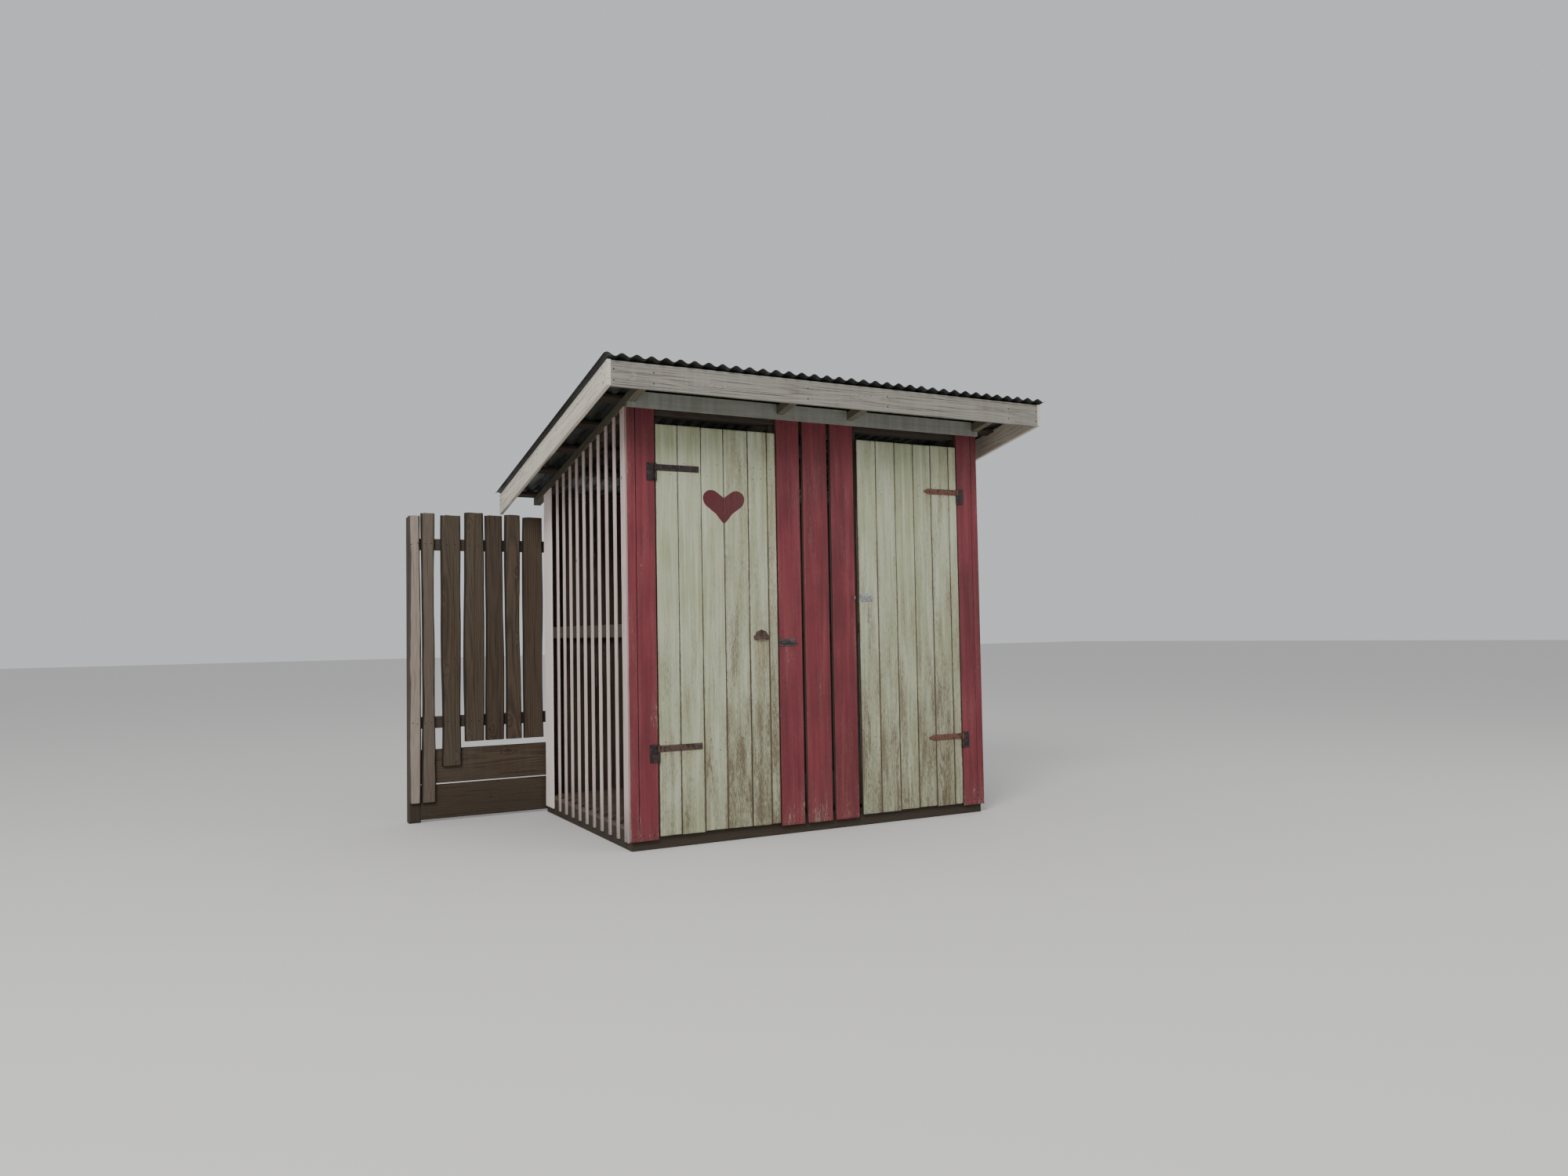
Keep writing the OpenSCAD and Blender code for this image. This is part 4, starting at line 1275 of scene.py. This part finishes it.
class Forge:
    """Metal parts that become one piece. slot picks one of the piece's finishes."""

    def __init__(self):
        self.mesh = bmesh.new()

    def take(self, part, place=Matrix.Identity(4), slot=0):
        for face in part.faces:
            face.material_index = slot
            face.smooth = True
        part.transform(place)
        if place.to_3x3().determinant() < 0:
            bmesh.ops.reverse_faces(part, faces=part.faces)
        scrap = bpy.data.meshes.new("scrap")
        part.to_mesh(scrap)
        self.mesh.from_mesh(scrap)
        bpy.data.meshes.remove(scrap)
        part.free()

    def round_edges(self, part, sharper_than, offset):
        edges = [e for e in part.edges if len(e.link_faces) == 2 and e.calc_face_angle() > sharper_than]
        bmesh.ops.bevel(part, geom=edges, offset=offset, segments=2, profile=0.6, affect="EDGES")

    def loft(self, rows):
        """A closed skin over rows of points that follow one another."""
        part = bmesh.new()
        rows = [[part.verts.new(point) for point in row] for row in rows]
        for a, b in zip(rows, rows[1:]):
            for j in range(len(a)):
                k = (j + 1) % len(a)
                part.faces.new((a[j], a[k], b[k], b[j]))
        part.faces.new(reversed(rows[0]))
        part.faces.new(rows[-1])
        bmesh.ops.recalc_face_normals(part, faces=part.faces)
        return part

    def plate(self, outline, thick, place, bevel=0.0006, slot=0):
        """A plate with its outline in the place's own xy plane, rising along its z."""
        part = self.loft([[(x, y, z) for x, y in outline] for z in (0.0, thick)])
        self.round_edges(part, 0.6, bevel)
        self.take(part, place, slot)

    def rod(self, start, end, radius, bevel=0.0006, sides=28, slot=0):
        start, end = Vector(start), Vector(end)
        part = bmesh.new()
        bmesh.ops.create_cone(
            part, cap_ends=True, segments=sides, radius1=radius, radius2=radius, depth=(end - start).length)
        self.round_edges(part, 1.0, bevel)
        turn = Vector((0, 0, 1)).rotation_difference(end - start).to_matrix().to_4x4()
        self.take(part, Matrix.Translation((start + end) / 2) @ turn, slot)

    def wire(self, path, radius, sides=14):
        """A round wire through a row of points, with flat ends."""
        rows = []
        for point, ahead in along_path(path):
            side = ahead.cross(Vector((0.3, 0.2, 0.93))).normalized()
            other = ahead.cross(side)
            rows.append([point + (side * math.cos(a) + other * math.sin(a)) * radius
                         for a in (math.tau * k / sides for k in range(sides))])
        self.take(self.loft(rows))

    def bent(self, path, across, width, thick):
        """A strip of even thickness that follows a path of points, width wide along across."""
        half = Vector(across) * width / 2
        rows = []
        for point, ahead in along_path(path):
            normal = Vector(across).cross(ahead).normalized() * thick
            rows.append([point - half, point + half, point + half + normal, point - half + normal])
        part = self.loft(rows)
        self.round_edges(part, 0.9, thick * 0.22)
        self.take(part)

    def ball(self, at, radius, segments=16, rings=8, squash=0.38, slot=0):
        """A nail or screw head on the front, flattened towards the surface, or a round knob."""
        part = bmesh.new()
        bmesh.ops.create_uvsphere(part, u_segments=segments, v_segments=rings, radius=radius)
        self.take(part, Matrix.Translation(at) @ Matrix.Diagonal((1, squash, 1, 1)), slot)

    def heads(self, spots, place, rise, radius, slot=0):
        """Heads at spots of a plate's own plane, rise over it."""
        for x, y in spots:
            self.ball(place @ Vector((x, y, rise)), radius, slot=slot)

    def piece(self, name, finishes, body, slot, *nodes):
        mesh = bpy.data.meshes.new(name)
        self.mesh.to_mesh(mesh)
        self.mesh.free()
        mesh.set_sharp_from_angle(angle=SHARP_IRON)
        for finish in finishes:
            mesh.materials.append(FINISH[finish])
        settle(name, mesh, body, slot, *nodes)


def along_path(path):
    """Each point of a path, with the direction in which the path passes it."""
    points = [Vector(point) for point in path]
    for i, point in enumerate(points):
        yield point, (points[min(i + 1, len(points) - 1)] - points[max(i - 1, 0)]).normalized()

# %% [markdown]
# ## Strap hinges
#
# A strap is nailed along the door. The left ones end blunt, and the right ones are drawn out to an arrow's
# point. Each is rolled round a pin, and the pin stands in a second knuckle that is nailed to the red board.
# The strap's parts ride on the door and the plate's parts on the house, and both turn about the pin's line,
# which is the joint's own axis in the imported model.

# %% Straps, plates and pins
STRAP_HIGH, STRAP_LONG, STRAP_THICK = 0.033, 0.246, 0.004
STRAP_HALF = STRAP_HIGH / 2
KNUCKLE, PIN = 0.006, 0.003
PLATE_WIDE, PLATE_THICK, PLATE_DROP, PLATE_RISE = 0.045, 0.003, 0.054, 0.006
PLATE_STEP = 0.006
SEAM = 0.001
STRAP_NAILS = ((0.034, 0.006), (0.066, -0.006), (0.135, 0.004), (0.198, -0.003))
PLATE_NAILS = ((-0.03, 0.011), (-0.022, -0.02), (-0.032, -0.055))
BLUNT_END = [(0.0, -STRAP_HALF), (0.1, -STRAP_HALF), (STRAP_LONG - 0.003, -STRAP_HALF),
             (STRAP_LONG - 0.001, 0.001 - STRAP_HALF), (STRAP_LONG, 0.003 - STRAP_HALF)]
ARROW_END = [(0.0, -STRAP_HALF), (0.1, -STRAP_HALF), (0.212, -STRAP_HALF), (0.214, 0.0035 - STRAP_HALF),
             (0.224, -STRAP_HALF * 0.7), (0.2335, -STRAP_HALF * 0.46), (0.242, -STRAP_HALF * 0.16),
             (STRAP_LONG, 0.0)]
hinge_axes = {joint["name"]: Vector(joint["pos_m"]) for joint in frame["joints"] if "pos_m" in joint}
face_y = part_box("left_door_boards")[0].y
hinge_gap_half = hinge_axes["right_door_hinge"].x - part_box("right_door_boards")[1].x

for side in SIDES:
    mirrored = side == "right"
    pin = hinge_axes[f"{side}_door_hinge"]
    low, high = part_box(f"{side}_door_straps")
    straps, plates = Forge(), Forge()

    def upright(forge, start, end, radius, bevel=0.0006, slot=0):
        forge.rod((pin.x, pin.y, start), (pin.x, pin.y, end), radius, bevel, slot=slot)

    for z in (low.z + STRAP_HALF, high.z - STRAP_HALF):
        dark = int(side == "left" and z > (low.z + high.z) / 2)
        at = on_front(pin.x, face_y, z, mirrored)
        straps.plate(closed(ARROW_END if mirrored else BLUNT_END), STRAP_THICK, at, 0.0008, dark)
        upright(straps, z - STRAP_HALF, z + STRAP_HALF, KNUCKLE, slot=dark)
        straps.heads(STRAP_NAILS, at, STRAP_THICK, 0.0044, 1 - dark)

        foot, top = -STRAP_HALF - PLATE_DROP, STRAP_HALF + PLATE_RISE
        free, stop = -hinge_gap_half - PLATE_WIDE, -STRAP_HALF - SEAM
        bend = free + PLATE_WIDE - PLATE_STEP
        plates.plate([(free, foot), (0.0, foot), (0.0, stop), (bend, stop), (bend, top), (free, top)],
                     PLATE_THICK, at)
        upright(plates, z + foot, z + stop, KNUCKLE)
        cap = z + STRAP_HALF + SEAM
        upright(plates, cap - 0.002, cap + 0.001, PIN, 0.0002)
        upright(plates, cap, cap + 0.003, KNUCKLE, 0.0009)
        plates.heads(PLATE_NAILS, at, PLATE_THICK, 0.0042)
    straps.piece(f"{side}_door_straps_forged", ["rusty_iron" if mirrored else "brown_iron", "dark_iron"],
                 f"{side}_door", "rusty_iron" if mirrored else "dark_iron", f"{side}_door_straps")
    plates.piece(f"{side}_hinge_plates_forged", ["dark_iron"], "root", "dark_iron", f"{side}_hinge_plates")

# %% [markdown]
# ## Cup pull
#
# The left door has a pressed cup to pull it by: a flat flange with a crest and two side tips, and a dome that
# is open below, with its lip arched for the fingers. The dome is part of a ball. Rays run out from its
# middle, and each ray's inner end is where the lip's arch or the flat foot cuts it, so the grid of faces ends
# exactly on the lip. A boolean cut would leave long thin faces there. A thin wire along the lip stands for
# its rolled edge.

# %% Cup pull
RIM_GAP, SHELL_DROP, WALL, ARCH = 0.006, 0.015, 0.0025, 0.06025
INNER_RIM, LIP_RADIUS, FLANGE_THICK = 0.0404, 0.0012, 0.002
RAYS, STEPS = 40, 10
pull_low, pull_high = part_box("left_door_pull")
PULL_HALF = (pull_high.x - pull_low.x) / 2
PULL_DEEP = face_y - pull_low.y
pull_x, pull_z = (pull_low.x + pull_high.x) / 2, pull_high.z - PULL_HALF
FOOT = pull_low.z - pull_z
SHELL = PULL_HALF - RIM_GAP
pull = Forge()

side_edge = [(0.044, FOOT), (0.0465, 0.002), (PULL_HALF, 0.010), (0.0458, 0.0145), (0.042, 0.017),
             (0.0385, 0.0185), (0.036, 0.022), (0.0352, 0.026), (0.033, 0.030), (0.030, 0.0345),
             (0.026, 0.038), (0.019, 0.0408), (0.012, 0.043), (0.006, 0.0452), (0.0, PULL_HALF)]
opening = SHELL - WALL
turns = [math.radians(10.5 + 159 * k / 28) for k in range(29)]
outline = side_edge + [(-x, z) for x, z in reversed(side_edge[:-1])]
outline += [(-opening * math.cos(a), max(opening * math.sin(a) - SHELL_DROP, FOOT)) for a in turns]
on_door = on_front(pull_x, face_y, pull_z)
pull.plate(outline, FLANGE_THICK, on_door, 0.0005)


def ball_height(base, sunk, reach):
    """Height of a ball's cap over the door, at a reach from its middle. base is the cap's radius."""
    ball = (base * base + PULL_DEEP * PULL_DEEP) / (2 * PULL_DEEP)
    return max(math.sqrt(max(ball * ball - reach * reach, 0.0)) + PULL_DEEP - ball - sunk, 0.0)


def lip_reach(a):
    """Where the lip cuts the ray that leaves the dome's middle at an angle."""
    low = (FOOT + SHELL_DROP) / math.sin(a)
    drop = ARCH - SHELL_DROP
    arch = -drop * math.sin(a) + math.sqrt((drop * math.sin(a)) ** 2 + ARCH**2 - drop**2)
    return max(low, arch)


part = bmesh.new()
first = math.asin((FOOT + SHELL_DROP) / SHELL) + 0.001
grids, lip = [], []
for base, sunk, rim in ((SHELL, 0.0, SHELL), (SHELL - 0.001, WALL, INNER_RIM)):
    rows = []
    for k in range(RAYS + 1):
        a = first + (math.pi - 2 * first) * k / RAYS
        inner = min(lip_reach(a), rim)
        row = []
        for j in range(STEPS + 1):
            reach = rim + (inner - rim) * j / STEPS
            row.append(part.verts.new((
                reach * math.cos(a), reach * math.sin(a) - SHELL_DROP, ball_height(base, sunk, reach))))
        rows.append(row)
        if not sunk:
            x, y, z = row[-1].co
            lip.append((pull_x + x, face_y - z + LIP_RADIUS, pull_z + y + LIP_RADIUS / 2))
    grids.append(rows)
    for a, b in zip(rows, rows[1:]):
        for j in range(STEPS):
            part.faces.new((a[j], b[j], b[j + 1], a[j + 1]) if sunk else (a[j], a[j + 1], b[j + 1], b[j]))
outer, inner = grids
for k in range(RAYS):
    part.faces.new((outer[k][-1], inner[k][-1], inner[k + 1][-1], outer[k + 1][-1]))
    part.faces.new((outer[k][0], outer[k + 1][0], inner[k + 1][0], inner[k][0]))
for k in (0, RAYS):
    for j in range(STEPS):
        part.faces.new((outer[k][j], inner[k][j], inner[k][j + 1], outer[k][j + 1]))
bmesh.ops.remove_doubles(part, verts=part.verts, dist=0.00002)
bmesh.ops.recalc_face_normals(part, faces=part.faces)
pull.take(part, on_door)
pull.wire(lip[2:-2], LIP_RADIUS, 10)
pull.heads(((0.0, 0.037), (-0.042, 0.009), (0.042, 0.009)), on_door, FLANGE_THICK, 0.0026)
pull.piece("left_door_pull_pressed", ["brown_iron"], "left_door", "rusty_iron", "left_door_pull")

# %% [markdown]
# ## Barrel bolt
#
# The bolt slides in two pressed loops on a flat plate. The plate and the loops stay on the red board, and the
# bar with its knob rides on the bolt's own body, so that it can shoot across to the door.

# %% Bolt, keeper and screws
BAR_RADIUS = 0.005
LOOP = BAR_RADIUS + 0.0006
LOOP_FOOT, FOOT_BEND = 0.0098, 0.0022
LOOP_WIDE, LOOP_THICK = 0.012, 0.0016
LOOPS_AT, KNOB_AT = (0.012, 0.072), 0.056
BASE_THICK, BASE_CUT = 0.002, 0.004
keeper_low, keeper_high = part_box("bolt_keeper")
bar_low, bar_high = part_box("bolt_bar")
bolt_z = (keeper_low.z + keeper_high.z) / 2
bar_y = face_y - 0.009
keeper = Forge()
wide, tall, cut = keeper_high.x - keeper_low.x, (keeper_high.z - keeper_low.z) / 2, BASE_CUT
on_board = on_front(keeper_low.x, face_y, bolt_z)
keeper.plate(closed([(0, cut - tall), (cut, -tall), (wide - cut, -tall), (wide, cut - tall)]), BASE_THICK,
             on_board, 0.0004)
arc = [math.radians(15 * k) for k in range(13)]
for place in LOOPS_AT:
    x = keeper_low.x + place
    path = [(x, face_y - BASE_THICK, bolt_z - LOOP_FOOT), (x, face_y - FOOT_BEND, bolt_z - LOOP - 0.001)]
    path += [(x, bar_y - math.sin(a) * LOOP, bolt_z - math.cos(a) * LOOP) for a in arc]
    path += [(x, face_y - FOOT_BEND, bolt_z + LOOP + 0.001), (x, face_y - BASE_THICK, bolt_z + LOOP_FOOT)]
    keeper.bent(path, LEFT, LOOP_WIDE, LOOP_THICK)
screws = [(wide * share, height) for share in (0.35, 0.55, 0.94) for height in (-0.0155, 0.0155)]
keeper.heads(screws, on_board, BASE_THICK, 0.0032)
keeper.piece("bolt_keeper_pressed", ["dull_zinc"], "root", "zinc_steel", "bolt_keeper")

KNOB_RADIUS, KNOB_STEM = 0.0054, 0.0032
bar = Forge()
bar.rod((bar_low.x, bar_y, bolt_z), (bar_high.x, bar_y, bolt_z), BAR_RADIUS, 0.0012)
knob = (keeper_low.x + KNOB_AT, bar_low.y + KNOB_RADIUS, bolt_z)
bar.rod((knob[0], bar_y, bolt_z), knob, KNOB_STEM, 0.0003)
bar.ball(knob, KNOB_RADIUS, 20, 12, 1.0)
bar.piece("bolt_bar_turned", ["dull_zinc"], "bolt", "zinc_steel", "bolt_bar")

# %% [markdown]
# ## Hasp and staple
#
# The hasp is a plate on the right door with four screws. The staple is a bent wire on the middle board, where
# a padlock would go.

# %% Hasp and staple
HASP_THICK, HASP_CUT, WIRE = 0.0025, 0.008, 0.0025
hasp_low, hasp_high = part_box("right_door_hasp")
hasp_z = (hasp_low.z + hasp_high.z) / 2
wide, tall, cut = hasp_high.x - hasp_low.x, (hasp_high.z - hasp_low.z) / 2, HASP_CUT
hasp = Forge()
on_door = on_front(hasp_low.x, face_y, hasp_z)
hasp.plate(closed([(0, cut - tall), (cut, -tall), (wide, -tall)]), HASP_THICK, on_door, 0.0005)
hasp.heads(((0.012, -0.012), (0.012, 0.012), (0.07, -0.013), (0.07, 0.013)), on_door, HASP_THICK, 0.0034)
hasp.piece("right_door_hasp_pressed", ["zinc_steel"], "right_door", "zinc_steel", "right_door_hasp")

staple_low, staple_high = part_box("hasp_staple")
staple_x, staple_z = (staple_low.x + staple_high.x) / 2, (staple_low.z + staple_high.z) / 2
upright_staple = staple_high.z - staple_low.z > staple_high.x - staple_low.x
swing = face_y - staple_low.y - WIRE
path = []
for k in range(25):
    a = math.pi * k / 24
    aside = math.cos(a) * swing
    x, z = (0.0, aside) if upright_staple else (aside, 0.0)
    path.append((staple_x + x, face_y - math.sin(a) * swing, staple_z + z))
staple = Forge()
staple.wire(path, WIRE)
staple.piece("hasp_staple_bent", ["zinc_steel"], "root", "zinc_steel", "hasp_staple")

# %% [markdown]
# ## Floor and light
#
# The stage is plain: a wide pale floor and soft light. A bright, even sky of light grey fills the shadows as
# an overcast day does, and one large lamp from the front left gives the boards their relief.

# %% Floor
FLOOR_HALF, FLOOR_Z = 60.0, -0.0006
corners = [(FLOOR_HALF * x, FLOOR_HALF * y, FLOOR_Z) for x, y in ((-1, -1), (1, -1), (1, 1), (-1, 1))]
mesh = bpy.data.meshes.new("floor")
mesh.from_pydata(corners, [], [(0, 1, 2, 3)])
floor = link("floor", mesh)
net, shader = new_finish("pale_floor")
shader.inputs["Base Color"].default_value = seen(214, 212, 208)
shader.inputs["Roughness"].default_value = 0.9
mesh.materials.append(FINISH["pale_floor"])
print("floor", 2 * FLOOR_HALF, "m wide")

# %% Light
world = bpy.data.worlds.new("overcast")
bpy.context.scene.world = world
world.use_nodes = True
sky = world.node_tree.nodes["Background"].inputs
sky["Color"].default_value = seen(226, 229, 232)
sky["Strength"].default_value = 0.8
LAMP_AIM = Vector((0, 0, 1.2))
for name, place, size, power in (("key", (-7.0, -7.5, 8.5), 5.0, 1000), ("fill", (5.5, -6.5, 4.5), 4.0, 120)):
    lamp = bpy.data.lights.new(name, "AREA")
    lamp.shape, lamp.size, lamp.energy = "DISK", size, power
    made = link(name, lamp)
    made.location = place
    made.rotation_euler = (LAMP_AIM - Vector(place)).to_track_quat("-Z", "Y").to_euler()
    print(name, "lamp of", power, "watts")
